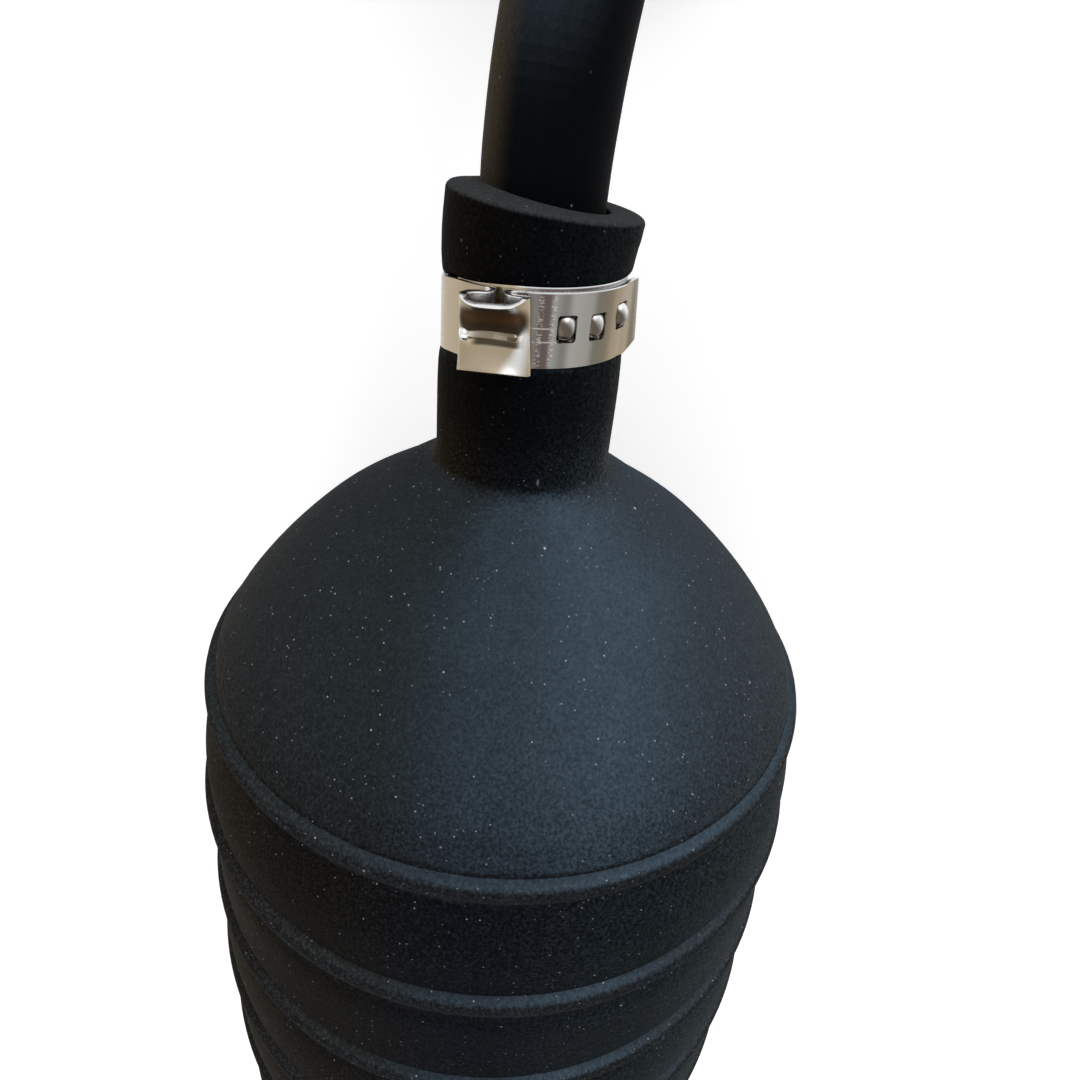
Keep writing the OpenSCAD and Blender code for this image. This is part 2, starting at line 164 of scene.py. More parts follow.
class Shader:
    """The node tree of a material or of the world, while it is being put together."""

    def __init__(self, owner: bpy.types.Material | bpy.types.World) -> None:
        """Starts the owner's tree afresh.

        Args:
            owner: The material or world.
        """
        owner.use_nodes = True
        self.owner = owner
        self.tree = owner.node_tree
        self.tree.nodes.clear()

    def node(self, kind: str, inputs: dict | None = None, **settings: object) -> bpy.types.Node:
        """Adds a node.

        Args:
            kind: The node's type, such as ShaderNodeTexNoise.
            inputs: What goes into its sockets, by name or number: a socket or a constant.
            settings: Its own settings.

        Returns:
            The node.
        """
        node = self.tree.nodes.new(kind)
        for key, value in settings.items():
            setattr(node, key, value)
        for key, value in (inputs or {}).items():
            if isinstance(value, Socket):
                self.tree.links.new(value, node.inputs[key])
            elif isinstance(value, tuple) and len(value) == 3 and node.inputs[key].type == "RGBA":
                node.inputs[key].default_value = (*value, 1.0)
            else:
                node.inputs[key].default_value = value
        return node

    def place(self) -> Socket:
        """The place on the object, in metres in the row frame."""
        return self.node("ShaderNodeTexCoord").outputs["Object"]

    def facing(self, axis: str) -> Socket:
        """How far the surface faces along an axis of the row frame, from -1 to 1."""
        return self.part(self.node("ShaderNodeTexCoord").outputs["Normal"], axis)

    def attribute(self, name: str) -> Socket:
        """A vector that the mesh holds under that name."""
        return self.node("ShaderNodeAttribute", attribute_name=name).outputs["Vector"]

    def scaled(self, vector: Socket, scale: Point) -> Socket:
        """A vector scaled along each axis."""
        if scale == ALIKE:
            return vector
        return self.node("ShaderNodeMapping", {"Vector": vector, "Scale": scale}).outputs[0]

    def ramp(self, value: Socket, low: Number, high: Number) -> Socket:
        """Takes low to 0 and high to 1, smoothly, and cuts off outside them."""
        inputs = {"Value": value, "From Min": low, "From Max": high}
        return self.node("ShaderNodeMapRange", inputs, interpolation_type="SMOOTHSTEP").outputs[0]

    def spread(self, value: Socket, low: float, high: float) -> Socket:
        """Takes 0 to low and 1 to high."""
        return self.node("ShaderNodeMapRange", {"Value": value, "To Min": low, "To Max": high}).outputs[0]

    def sum(self, kind: str, a: Number, b: Number = 0.0) -> Socket:
        """A sum of one or two numbers; kind is ADD, DIVIDE, ABSOLUTE and so on."""
        return self.node("ShaderNodeMath", {0: a, 1: b}, operation=kind).outputs[0]

    def product(self, *factors: Number) -> Socket:
        """All the factors, multiplied in order."""
        return reduce(lambda a, b: self.sum("MULTIPLY", a, b), factors)

    def most(self, *values: Number) -> Socket:
        """The greatest of the values."""
        return reduce(lambda a, b: self.sum("MAXIMUM", a, b), values)

    def blend(self, share: Number, a: Socket | Colour, b: Socket | Colour) -> Socket:
        """The colour that share of the way from a to b."""
        return self.node("ShaderNodeMix", {0: share, 6: a, 7: b}, data_type="RGBA").outputs[2]

    def between(self, share: Socket, a: Socket, b: Socket) -> Socket:
        """The number that share of the way from a to b."""
        return self.node("ShaderNodeMix", {0: share, 2: a, 3: b}).outputs[0]

    def part(self, vector: Socket, axis: str) -> Socket:
        """One coordinate of a vector; axis is X, Y or Z."""
        return self.node("ShaderNodeSeparateXYZ", {"Vector": vector}).outputs[axis]

    def within(self, value: Socket, low: float, high: float, soft: float) -> Socket:
        """1 between low and high, and 0 further outside them than soft."""
        return self.product(self.ramp(value, low - soft, low), self.ramp(value, high + soft, high))

    def shaded(self, colour: Socket, factor: Socket) -> Socket:
        """A colour made darker or lighter by a factor."""
        return self.node("ShaderNodeVectorMath", {0: colour, 1: factor}, operation="MULTIPLY").outputs[0]

    def bands(self, value: Socket, stops: Stops) -> Socket:
        """Runs smoothly through a row of colours.

        Args:
            value: Where along the row, from 0 to 1.
            stops: Each colour with its place.

        Returns:
            The colour.
        """
        node = self.node("ShaderNodeValToRGB", {0: value})
        ramp = node.color_ramp
        ramp.interpolation = "EASE"
        while len(ramp.elements) < len(stops):
            ramp.elements.new(1.0)
        for element, (place, colour) in zip(ramp.elements, stops):
            element.position = place
            element.color = (*colour, 1.0)
        return node.outputs[0]

    def bump(self, height: Socket, depth: float, under: Socket | None = None) -> Socket:
        """Lays a relief on the surface.

        Args:
            height: The relief, from 0 to 1.
            depth: Its depth in metres.
            under: The relief that it lies on, as a normal.

        Returns:
            The normal.
        """
        inputs = {"Height": height, "Distance": depth, "Strength": 1.0}
        if under is not None:
            inputs["Normal"] = under
        return self.node("ShaderNodeBump", inputs).outputs[0]

    def surface(self, **inputs: object) -> bpy.types.Material:
        """Ends the material in a Principled surface.

        Args:
            inputs: Its sockets, with _ for each space in their names.

        Returns:
            The material.
        """
        named = {key.replace("_", " "): value for key, value in inputs.items()}
        shader = self.node("ShaderNodeBsdfPrincipled", named)
        self.node("ShaderNodeOutputMaterial", {"Surface": shader.outputs[0]})
        return self.owner


@dataclass(frozen=True)
class Noise:
    """Cloudy noise.

    Attributes:
        scale: About how often it repeats in a metre.
        detail: How many finer layers it has.
        rough: How strong they are.
        stretch: Factors along the axes: below 1 lengthens it.
    """

    scale: float
    detail: float = 2.0
    rough: float = 0.5
    stretch: Point = ALIKE

    def share_at(self, s: Shader, place: Socket) -> Socket:
        """The noise, from 0 to 1, where the pattern follows that place."""
        inputs = {
            "Vector": s.scaled(place, self.stretch), "Scale": self.scale, "Detail": self.detail,
            "Roughness": self.rough,
        }
        return s.node("ShaderNodeTexNoise", inputs).outputs["Fac"]


@dataclass(frozen=True)
class Specks:
    """Scattered round specks of dust.

    Attributes:
        cells: Cells along a metre, of which each holds one speck at most.
        size: A speck's radius, as a share of its cell.
        share: The share of the cells that hold one.
        stretch: Factors along the axes: below 1 lengthens the specks.
        core: How much of a speck is whole, as a share of its radius.
        fade: How fast the specks' strengths fall off, as a power.
    """

    cells: float
    size: float
    share: float
    stretch: Point = ALIKE
    core: float = 0.4
    fade: float = 2.0

    def share_at(self, s: Shader, place: Socket) -> Socket:
        """How much of a speck shows.

        Args:
            s: The material.
            place: The place that the pattern follows.

        Returns:
            0 between specks, and up to 1 on one, each with a strength of its own.
        """
        inputs = {"Vector": s.scaled(place, self.stretch), "Scale": self.cells}
        cell = s.node("ShaderNodeTexVoronoi", inputs)
        near = s.ramp(cell.outputs["Distance"], self.size, self.size * self.core)
        lucky = s.sum("LESS_THAN", s.part(cell.outputs["Color"], "X"), self.share)
        strength = s.sum("POWER", s.part(cell.outputs["Color"], "Y"), self.fade)
        return s.product(near, lucky, strength)


@dataclass(frozen=True)
class Patch:
    """A soft-edged patch, in two of the surface's own measures.

    Attributes:
        a: Its reach in the first measure.
        a_soft: How far it fades beyond that.
        b: Its reach in the second measure.
        b_soft: How far it fades beyond that.
        share: How much of it shows.
    """

    a: Range
    a_soft: float
    b: Range
    b_soft: float
    share: float = 1.0

    def share_at(self, s: Shader, a: Socket, b: Socket) -> Socket:
        """How much of the patch shows at the two measures."""
        return s.product(s.within(a, *self.a, self.a_soft), s.within(b, *self.b, self.b_soft), self.share)


@dataclass(frozen=True)
class Oval:
    """A soft-edged oval, in two of the surface's own measures.

    Attributes:
        middle: Its middle.
        half: Its half sizes.
        power: How square it is in each measure, as an even power.
        edge: Where it starts to show and where it is whole, as shares of its size.
    """

    middle: Pair
    half: Pair
    power: Pair
    edge: Range

    def share_at(self, s: Shader, a: Socket, b: Socket) -> Socket:
        """How much of the oval shows.

        Args:
            s: The material.
            a: The first measure.
            b: The second measure.

        Returns:
            0 outside it and 1 well inside.
        """
        away = [
            s.sum("POWER", s.sum("DIVIDE", s.sum("SUBTRACT", at, middle), half), power)
            for at, middle, half, power in zip((a, b), self.middle, self.half, self.power)
        ]
        return s.ramp(s.sum("ADD", *away), *self.edge)


@dataclass(frozen=True)
class BulbRubber:
    """Matt black moulded rubber with a grainy skin and a pale film on what faces its ends; the film is a real
    film and painted light together.

    Both tints run round the bulb, from -Y at 0 to +Y at 1: blue-grey over the top, warm brown at +Y. These
    are painted reflections, and the skin's lighter sides are a painted sheen. A pair is where a change starts
    and where it is done. Those named _x, _y and _z are places in metres, but flank_y, lint_y and the pair
    where the film dims on the +Y side run round the bulb like the tints.

    Attributes:
        crown: Lighter colour over the beads.
        barrel_r: Where the tints' ends lie beside the axis.
        mirror_x: The place that the film and its painted light mirror about, because they face both ends.
        dome_facing: How far the domes face an end where the film and its painted light start and are whole.
        rib_facing: The same on the ribbed part.
        crown_share: How much the crown's colour shows, on top and on the +Y side.
        calm_bead: How much calmer the grain is on a bead.
    """

    # The film's colours: a pale film together with painted light and painted reflections, blue-grey over the
    # top and warm at +Y.
    film_and_light: Stops = (
        (0.0, (0.042, 0.046, 0.047)), (0.20, (0.035, 0.045, 0.055)), (0.35, (0.043, 0.065, 0.087)),
        (0.50, (0.028, 0.041, 0.054)), (0.65, (0.0175, 0.023, 0.0255)), (0.80, (0.019, 0.0235, 0.0255)),
        (1.0, (0.042, 0.041, 0.037)),
    )
    # The skin's colours: near black over the top, and lighter towards both sides with a painted sheen, grey
    # at -Y and warm brown at +Y.
    skin_and_sheen: Stops = (
        (0.0, (0.048, 0.049, 0.049)), (0.10, (0.0145, 0.0195, 0.0215)),
        (0.30, (0.0062, 0.0088, 0.0108)), (0.50, (0.0030, 0.0038, 0.0058)),
        (0.70, (0.0044, 0.0038, 0.0031)), (0.90, (0.0102, 0.0075, 0.0040)), (1.0, (0.0165, 0.0118, 0.0066)),
    )
    # The lip's colour for the film and its painted light.
    lip: Colour = (0.031, 0.035, 0.0365)
    # A dimmer, greyer colour for the film on the ribbed part's +Y side: painted shade.
    wear_and_shade: Colour = (0.0200, 0.0205, 0.0195)
    clay: Colour = (0.085, 0.062, 0.040)
    dust: Colour = (0.50, 0.52, 0.54)
    lint: Colour = (0.11, 0.12, 0.13)
    crown: Colour = (0.0120, 0.0140, 0.0160)
    cloud_noise: Noise = Noise(38, 3.0)
    grain_noise: Noise = Noise(3000, 2.0, 0.7)
    blotch_noise: Noise = Noise(620)
    bead_pitch: float = 0.016
    barrel_r: float = 0.0405
    mirror_x: float = -0.004
    ribs_x: Range = (0.067, 0.063)
    dome_facing: Range = (0.16, 0.84)
    rib_facing: Range = (0.46, 0.97)
    root_x: Range = (0.0665, 0.0720)
    root_soft: float = 0.0060
    root_edge_x: Range = (0.0656, 0.0662)
    # How much film and painted light lie round the domes' roots, whatever way they face.
    root_film_and_light: float = 0.50
    flank_y: Range = (0.68, 0.92)
    # How much of the film and its painted light is left on the ribbed part's +Y side.
    flank_film_and_light: float = 0.2
    neck_x: Range = (0.100, 0.089)
    neck_shade: Range = (0.38, 1.15)
    lip_x: Range = (0.112, 0.114)
    wear_and_shade_y: Range = (0.50, 0.75)
    clay_y: Range = (0.0060, 0.0071)
    clay_soft: float = 0.0004
    clay_x: Range = (0.1150, 0.1162)
    clay_z: Range = (0.0432, 0.0414)
    clay_share: float = 0.8
    crown_x: Range = (0.0021, 0.0015)
    last_bead_x: Range = (0.0665, 0.0655)
    crown_share: Range = (0.65, 0.30)
    calm_bead: float = 0.7
    coarse: Range = (0.30, 0.70)
    skin_mottle: Range = (0.25, 1.85)
    film_mottle: Range = (0.32, 1.68)
    blotches: Range = (0.85, 1.15)
    clouds: Range = (0.85, 1.15)
    lint_grain: Range = (0.54, 0.74)
    lint_cloud: Range = (0.30, 0.65)
    lint_neck: Range = (0.01, 0.075)
    lint_y: Range = (0.92, 0.62)
    lint_round: Range = (0.25, 1.0)
    bead_lint_grain: Range = (0.48, 0.68)
    bead_lint: float = 0.12
    specks: tuple[Specks, ...] = (
        Specks(1600, 0.17, 0.42), Specks(560, 0.10, 0.11, (1.0, 1.0, 0.55)),
        Specks(620, 0.13, 0.05, (0.35, 1.0, 1.0)),
    )
    dust_skin: Range = (0.55, 1.0)
    dust_neck: Range = (0.3, 1.0)
    rough: Range = (0.79, 0.89)
    gloss: float = 0.028
    grain_depth: float = 0.00005
    blotch_depth: float = 0.00006

    def film_and_light_share(self, s: Shader, x: Socket, beyond: Socket, ribbed: Socket, flank: Socket) -> Socket:
        """How much film and painted light lie on the skin.

        Args:
            s: The material.
            x: The place along the bulb.
            beyond: The same without its sign.
            ribbed: 1 on the ribbed part.
            flank: 1 on the ribbed part's +Y side.

        Returns:
            The strength of the film and its painted light, before its clouds.
        """
        end = s.sum("SIGN", s.sum("ADD", x, -self.mirror_x))
        toward = s.product(s.facing("X"), end)
        low, high = (s.spread(ribbed, *pair) for pair in zip(self.dome_facing, self.rib_facing))
        facing = s.ramp(toward, low, high)
        root = s.product(s.within(beyond, *self.root_x, self.root_soft), s.ramp(beyond, *self.root_edge_x))
        facing = s.most(facing, s.product(root, self.root_film_and_light))
        return s.product(facing, s.spread(flank, 1.0, self.flank_film_and_light))

    def film_and_light_tint(self, s: Shader, place: Socket, beyond: Socket, ribbed: Socket, round_y: Socket) -> Socket:
        """The colour of the film and its painted light, with the lip's and the dab of clay on it.

        Args:
            s: The material.
            place: The place on the bulb.
            beyond: Its X without its sign.
            ribbed: 1 on the ribbed part.
            round_y: The place round the bulb.

        Returns:
            The colour.
        """
        film_and_light = s.blend(s.ramp(beyond, *self.lip_x), s.bands(round_y, self.film_and_light), self.lip)
        # Painted shade: the film is dimmer and greyer on the ribbed part's +Y side.
        film_and_light = s.blend(s.product(ribbed, s.ramp(round_y, *self.wear_and_shade_y)), film_and_light, self.wear_and_shade)
        clay = s.product(
            s.within(s.part(place, "Y"), *self.clay_y, self.clay_soft),
            s.ramp(s.part(place, "X"), *self.clay_x), s.ramp(s.part(place, "Z"), *self.clay_z),
            self.clay_share,
        )
        return s.blend(clay, film_and_light, self.clay)

    def lint_share(
        self, s: Shader, grain: Socket, cloud: Socket, off_neck: Socket, round_y: Socket, bead: Socket,
    ) -> Socket:
        """How much fluff lies in the grain.

        Args:
            s: The material.
            grain: The finest noise.
            cloud: The largest noise.
            off_neck: 0 on a neck and 1 elsewhere.
            round_y: The place round the bulb.
            bead: 1 on a bead's top.

        Returns:
            The fluff's strength.
        """
        lint = s.product(
            s.ramp(grain, *self.lint_grain), s.ramp(cloud, *self.lint_cloud),
            s.spread(off_neck, *self.lint_neck), s.spread(s.ramp(round_y, *self.lint_y), *self.lint_round),
        )
        return s.most(lint, s.product(bead, s.ramp(grain, *self.bead_lint_grain), self.bead_lint))

    def material(self) -> bpy.types.Material:
        """Makes the material.

        Returns:
            The material.
        """
        s = Shader(bpy.data.materials.new("bulb_rubber"))
        place = s.place()
        x = s.part(place, "X")
        beyond = s.sum("ABSOLUTE", x)
        ribbed = s.ramp(beyond, *self.ribs_x)
        side = s.between(ribbed, s.facing("Y"), s.sum("DIVIDE", s.part(place, "Y"), self.barrel_r))
        round_y = s.node("ShaderNodeMapRange", {"Value": side, "From Min": -1.0}).outputs[0]
        flank = s.product(ribbed, s.ramp(round_y, *self.flank_y))
        off_neck = s.ramp(beyond, *self.neck_x)
        # The film and its painted light, where the surface faces the bulb's ends.
        facing = self.film_and_light_share(s, x, beyond, ribbed, flank)
        film_and_light = self.film_and_light_tint(s, place, beyond, ribbed, round_y)
        # The skin with its painted sheen towards the sides, darker on the necks as painted shade.
        skin_and_sheen = s.shaded(s.bands(round_y, self.skin_and_sheen), s.spread(off_neck, *self.neck_shade))
        off_bead = s.sum("PINGPONG", x, self.bead_pitch / 2)
        bead = s.product(s.ramp(off_bead, *self.crown_x), s.ramp(beyond, *self.last_bead_x))
        skin_and_sheen = s.blend(s.product(bead, s.spread(flank, *self.crown_share)), skin_and_sheen, self.crown)
        noises = (self.cloud_noise, self.grain_noise, self.blotch_noise)
        cloud, grain, blotch = (noise.share_at(s, place) for noise in noises)
        # Lays the film and its painted light over the skin.
        colour = s.blend(s.product(facing, s.spread(cloud, *self.clouds)), skin_and_sheen, film_and_light)
        calm = s.most(facing, s.product(bead, self.calm_bead))
        coarse = s.spread(s.ramp(grain, *self.coarse), *self.skin_mottle)
        mottle = s.product(
            s.between(calm, coarse, s.spread(grain, *self.film_mottle)), s.spread(blotch, *self.blotches),
        )
        colour = s.shaded(colour, mottle)
        colour = s.blend(self.lint_share(s, grain, cloud, off_neck, round_y, bead), colour, self.lint)
        dust = s.product(
            s.most(*(specks.share_at(s, place) for specks in self.specks)),
            s.spread(facing, *self.dust_skin), s.spread(off_neck, *self.dust_neck),
        )
        colour = s.blend(dust, colour, self.dust)
        bumps = s.bump(grain, self.grain_depth, s.bump(blotch, self.blotch_depth))
        return s.surface(
            Base_Color=colour, Roughness=s.spread(cloud, *self.rough), Normal=bumps,
            Specular_IOR_Level=self.gloss,
        )


@dataclass(frozen=True)
class HoseRubber:
    """Smooth matt black hose rubber with faint lines along it, a thin film that is also painted light on what
    faces +X, and a painted warm reflection towards +Y.

    A pair of facings is where a tint starts and where it is whole.
    """

    base: Colour = (0.0012, 0.0016, 0.0022)
    # The thin film's colour, also painted light on what faces +X.
    film_and_light: Colour = (0.023, 0.032, 0.042)
    # A painted warm reflection on what faces +Y, patchy with clouds.
    warm_reflection: Colour = (0.046, 0.035, 0.021)
    dust: Colour = (0.35, 0.36, 0.38)
    film_and_light_facing: Range = (0.10, 0.42)
    warm_reflection_facing: Range = (0.45, 0.95)
    warm_reflection_share: Range = (0.6, 1.1)
    line_noise: Noise = Noise(1800, stretch=(1.0, 1.0, 0.02))
    cloud_noise: Noise = Noise(55, 3.0)
    fine_noise: Noise = Noise(3200, 2.0, 0.6)
    pit_noise: Noise = Noise(700)
    mottle: Range = (0.4, 1.6)
    line_shade: Range = (0.7, 1.3)
    specks: Specks = Specks(900, 0.16, 0.06)
    rough: Range = (0.60, 0.72)
    gloss: float = 0.025
    line_depth: float = 0.00002
    pit_depth: float = 0.00003

    def material(self) -> bpy.types.Material:
        """Makes the material; the mesh holds hose_space, its place along a straight hose.

        Returns:
            The material.
        """
        s = Shader(bpy.data.materials.new("hose_rubber"))
        place = s.attribute("hose_space")
        noises = (self.line_noise, self.cloud_noise, self.fine_noise, self.pit_noise)
        lines, cloud, fine, pits = (noise.share_at(s, place) for noise in noises)
        # The thin film with its painted light on what faces +X.
        colour = s.blend(s.ramp(s.facing("X"), *self.film_and_light_facing), self.base, self.film_and_light)
        # The painted warm reflection on what faces +Y.
        warm_reflection = s.product(s.ramp(s.facing("Y"), *self.warm_reflection_facing), s.spread(cloud, *self.warm_reflection_share))
        colour = s.blend(warm_reflection, colour, self.warm_reflection)
        colour = s.shaded(colour, s.product(s.spread(fine, *self.mottle), s.spread(lines, *self.line_shade)))
        colour = s.blend(self.specks.share_at(s, s.place()), colour, self.dust)
        bumps = s.bump(lines, self.line_depth, s.bump(pits, self.pit_depth))
        return s.surface(
            Base_Color=colour, Roughness=s.spread(cloud, *self.rough), Normal=bumps,
            Specular_IOR_Level=self.gloss,
        )


@dataclass(frozen=True)
class StrapSteel:
    """Stainless strap, rolled lengthwise, tinted round its turn with painted reflections, with painted
    highlights and shade, dirt with painted shade in its ear, and pincer scratches.

    The tints' places are turns as shares of a circle, counted from straight below; the tints are the steel's
    colour with painted reflections of its surroundings. The mesh holds strap_space, its place on the flat
    strap, and strap_form: its turn in degrees, its place along the ear from the ear's middle, and its place
    across the strap, both in millimetres. The ear's place is far out on a strap whose ear has no dirt and no
    painted light or shade. Patches and pairs are in those measures, and a pair is where a change starts and
    where it is done.

    Attributes:
        dull_and_shade: Colour of dim spots, and the painted shade on what faces -X and on the hooks' shaded
            side.
        rust_and_shade: Colour of the dirt and painted shade high in the ear's dish.
        grime_and_shadow: Colour of the dirt and painted shade low in it, and of the painted shadow under the
            rib.
        inner: Colour of the painted reflection in the ear's inside and of the painted highlight on its knob.
        gleam: Colour of the painted highlights on edges and folds, on what faces +X and on the hooks' lit
            side.
        jaws: The two bands that the pincers' jaws scraped.
        jaw_wear: The noise at which they start to show and are whole.
        lines: The two scratched lines.
        fold: Where the painted highlight along the ear's fold lies at mid-width, and how it leans.
        lit: How much a hook's lit side faces +X, and -Y.
    """

    dull_and_shade: Colour = (0.105, 0.087, 0.068)
    scratch: Colour = (0.52, 0.50, 0.46)
    rust_and_shade: Colour = (0.046, 0.022, 0.008)
    grime_and_shadow: Colour = (0.014, 0.009, 0.0045)
    inner: Colour = (0.80, 0.80, 0.80)
    gleam: Colour = (0.70, 0.71, 0.72)
    # The rib's and the ear's lower wall's colours: the steel's beige with painted reflections, as in the
    # tints.
    rib: Colour = (0.19, 0.155, 0.110)
    skirt: Colour = (0.33, 0.262, 0.170)
    # The steel's colour round its turn, with painted reflections of its surroundings in it.
    tints: Stops = (
        (0.262, (0.33, 0.265, 0.180)), (0.283, (0.12, 0.100, 0.072)), (0.300, (0.29, 0.230, 0.150)),
        (0.345, (0.26, 0.205, 0.132)), (0.366, (0.16, 0.135, 0.095)), (0.388, (0.17, 0.155, 0.125)),
        (0.405, (0.30, 0.290, 0.260)), (0.432, (0.33, 0.325, 0.300)), (0.447, (0.19, 0.180, 0.170)),
        (0.464, (0.28, 0.275, 0.260)), (0.472, (0.120, 0.092, 0.082)), (0.484, (0.112, 0.086, 0.078)),
        (0.494, (0.20, 0.185, 0.165)), (0.505, (0.22, 0.205, 0.180)), (0.516, (0.40, 0.330, 0.230)),
        (0.690, (0.35, 0.285, 0.195)), (0.750, (0.25, 0.200, 0.135)),
    )
    jaws: tuple[Range, Range] = ((-6.4, -4.2), (-13.4, -11.4))
    jaw_soft: float = 0.9
    jaw_reach: Range = (-3.1, 3.0)
    jaw_share: float = 0.55
    jaw_wear: Range = (0.48, 0.60)
    jaw_noise: Noise = Noise(5200, 3.0, 0.7, (0.45, 1.0, 1.0))
    lines: tuple[Patch, Patch] = (
        Patch((-11.6, -1.6), 0.8, (0.22, 0.27), 0.06), Patch((-15.4, -2.0), 0.8, (-1.02, -0.96), 0.06),
    )
    line_noise: Noise = Noise(1400)
    line_wear: Range = (0.34, 0.55)
    line_share: float = 0.8
    # The ear's dish, where dirt and painted shade lie.
    dish: Oval = Oval((0.0, 1.45), (3.4, 2.0), (4.0, 2.0), (1.05, 0.48))
    dish_reach: Range = (0.36, 3.05)
    dish_soft: float = 0.25
    dish_clouds: Range = (0.90, 1.04)
    rust_and_shade_w: Range = (1.0, 2.2)
    ear_end: Range = (8.0, 7.0)
    inside: Range = (3.7, 6.9)
    soft: float = 0.3
    skirt_w: Range = (-0.6, -1.3)
    skirt_e: Range = (3.6, 3.0)
    skirt_share: float = 0.9
    # The painted highlight along the ear's fold.
    fold: Pair = (3.0, 0.32)
    fold_w: Range = (0.5, -3.0)
    fold_width: Range = (0.45, 1.25)
    fold_edge: Range = (1.0, 0.1)
    fold_share: float = 0.75
    # The painted shadow under the rib.
    under_rib: Patch = Patch((-1.4, 2.2), 0.9, (-0.78, -0.42), 0.36, 0.88)
    on_rib: Patch = Patch((-1.9, 2.4), 0.3, (-0.26, 0.30), 0.12, 0.9)
    # The painted highlight on the knob.
    knob: Oval = Oval((-2.75, -0.15), (0.42, 0.60), (2.0, 2.0), (1.0, 0.3))
    knob_share: float = 0.85
    blotch_noise: Noise = Noise(900, 3.0)
    blotches: Range = (0.64, 0.90)
    # Painted highlight on what faces +X and painted shade on what faces -X.
    up_facing: Range = (0.12, 0.60)
    up_share: float = 0.9
    down_facing: Range = (-0.08, -0.55)
    down_share: float = 0.85
    # Painted highlight and painted shade on the hooks.
    lit: Pair = (0.8, 0.6)
    lit_edge: Range = (0.25, 0.85)
    hook_turns: tuple[float, float, float] = (288, 348, 3)
    # Where the painted highlights along the rims lie.
    rim_turns: tuple[tuple[float, float, float], ...] = ((-62, 3, 6), (300, 366, 6))
    rim_w: Range = (3.30, 3.42)
    roll_noise: Noise = Noise(6000, 3.0, stretch=(0.03, 1.0, 1.0))
    cloud_noise: Noise = Noise(260, 3.0)
    rough: Range = (0.12, 0.30)
    cloud_rough: Range = (0.0, 0.08)
    dirt_rough: float = 0.45
    roll_depth: float = 0.000004
    scratch_depth: float = 0.00002

    def scratches(self, s: Shader, turn: Socket, across: Socket, place: Socket) -> Socket:
        """Where the pincers' jaws scraped the strap beside the ear: two bands and two lines.

        Args:
            s: The material.
            turn: The turn in degrees.
            across: The place across the strap.
            place: The place on the flat strap.

        Returns:
            How deep the scratches are.
        """
        wear_and_shade = s.ramp(self.jaw_noise.share_at(s, place), *self.jaw_wear)
        jaws = s.most(*(s.within(turn, *jaw, self.jaw_soft) for jaw in self.jaws))
        jaws = s.product(jaws, wear_and_shade, s.within(across, *self.jaw_reach, self.soft), self.jaw_share)
        lines = s.most(*(line.share_at(s, turn, across) for line in self.lines))
        broken = s.ramp(self.line_noise.share_at(s, place), *self.line_wear)
        return s.most(jaws, s.product(lines, broken, self.line_share))

    def ear_tints(
        self, s: Shader, colour: Socket, along: Socket, across: Socket, dish: Socket, cloud: Socket,
    ) -> Socket:
        """Adds what the ear has: the painted reflection in its inside, its dirt with painted shade, the
        painted shadow under its rib, and its painted highlights.

        Args:
            s: The material.
            colour: The strap's colour.
            along: The place along the ear.
            across: The place across the strap.
            dish: 1 in the dish in the ear's top.
            cloud: Cloudy noise.

        Returns:
            The colour.
        """
        away = s.sum("ABSOLUTE", along)
        over_ear = s.ramp(away, *self.ear_end)
        # Painted reflection in the ear's inside.
        colour = s.blend(s.product(s.within(away, *self.inside, self.soft), over_ear), colour, self.inner)
        # The ear's lower wall, in the steel's beige with painted reflections.
        skirt = s.product(s.ramp(across, *self.skirt_w), s.ramp(away, *self.skirt_e), self.skirt_share)
        colour = s.blend(skirt, colour, self.skirt)
        # Painted highlight along the ear's fold.
        fold_e, lean = self.fold
        fold = s.sum("SUBTRACT", fold_e, s.product(s.sum("ABSOLUTE", across), lean))
        fold = s.sum("ABSOLUTE", s.sum("SUBTRACT", along, fold))
        width = s.spread(s.ramp(across, *self.fold_w), *self.fold_width)
        gleam = s.product(s.ramp(s.sum("DIVIDE", fold, width), *self.fold_edge), self.fold_share, over_ear)
        colour = s.blend(gleam, colour, self.gleam)
        # Dirt with painted shade in the ear's dish.
        dirt_and_shade = s.blend(s.ramp(across, *self.rust_and_shade_w), self.grime_and_shadow, self.rust_and_shade)
        colour = s.blend(s.product(dish, s.spread(cloud, *self.dish_clouds)), colour, dirt_and_shade)
        # Painted shadow under the rib.
        colour = s.blend(self.under_rib.share_at(s, along, across), colour, self.grime_and_shadow)
        # The rib, in the steel's beige with painted reflections.
        colour = s.blend(self.on_rib.share_at(s, along, across), colour, self.rib)
        # Painted highlight on the knob.
        knob = s.product(self.knob.share_at(s, along, across), self.knob_share)
        return s.blend(knob, colour, self.inner)

    def strap_tints(self, s: Shader, turn: Socket, across: Socket, place: Socket) -> Socket:
        """The strap's colour without its ear: its turn, what it faces, its hooks and its rims.

        Args:
            s: The material.
            turn: The turn in degrees.
            across: The place across the strap.
            place: The place on the flat strap.

        Returns:
            The colour.
        """
        ring = s.sum("FRACT", s.sum("ADD", s.sum("DIVIDE", turn, 360.0), 0.5))
        blotch = s.ramp(self.blotch_noise.share_at(s, place), *self.blotches)
        # The steel's colour with its painted reflections, with dim spots.
        colour = s.blend(blotch, s.bands(ring, self.tints), self.dull_and_shade)
        up, left = s.facing("X"), s.facing("Y")
        # Painted highlight on what faces +X, then painted shade on what faces -X.
        colour = s.blend(s.product(s.ramp(up, *self.up_facing), self.up_share), colour, self.gleam)
        colour = s.blend(s.product(s.ramp(up, *self.down_facing), self.down_share), colour, self.dull_and_shade)
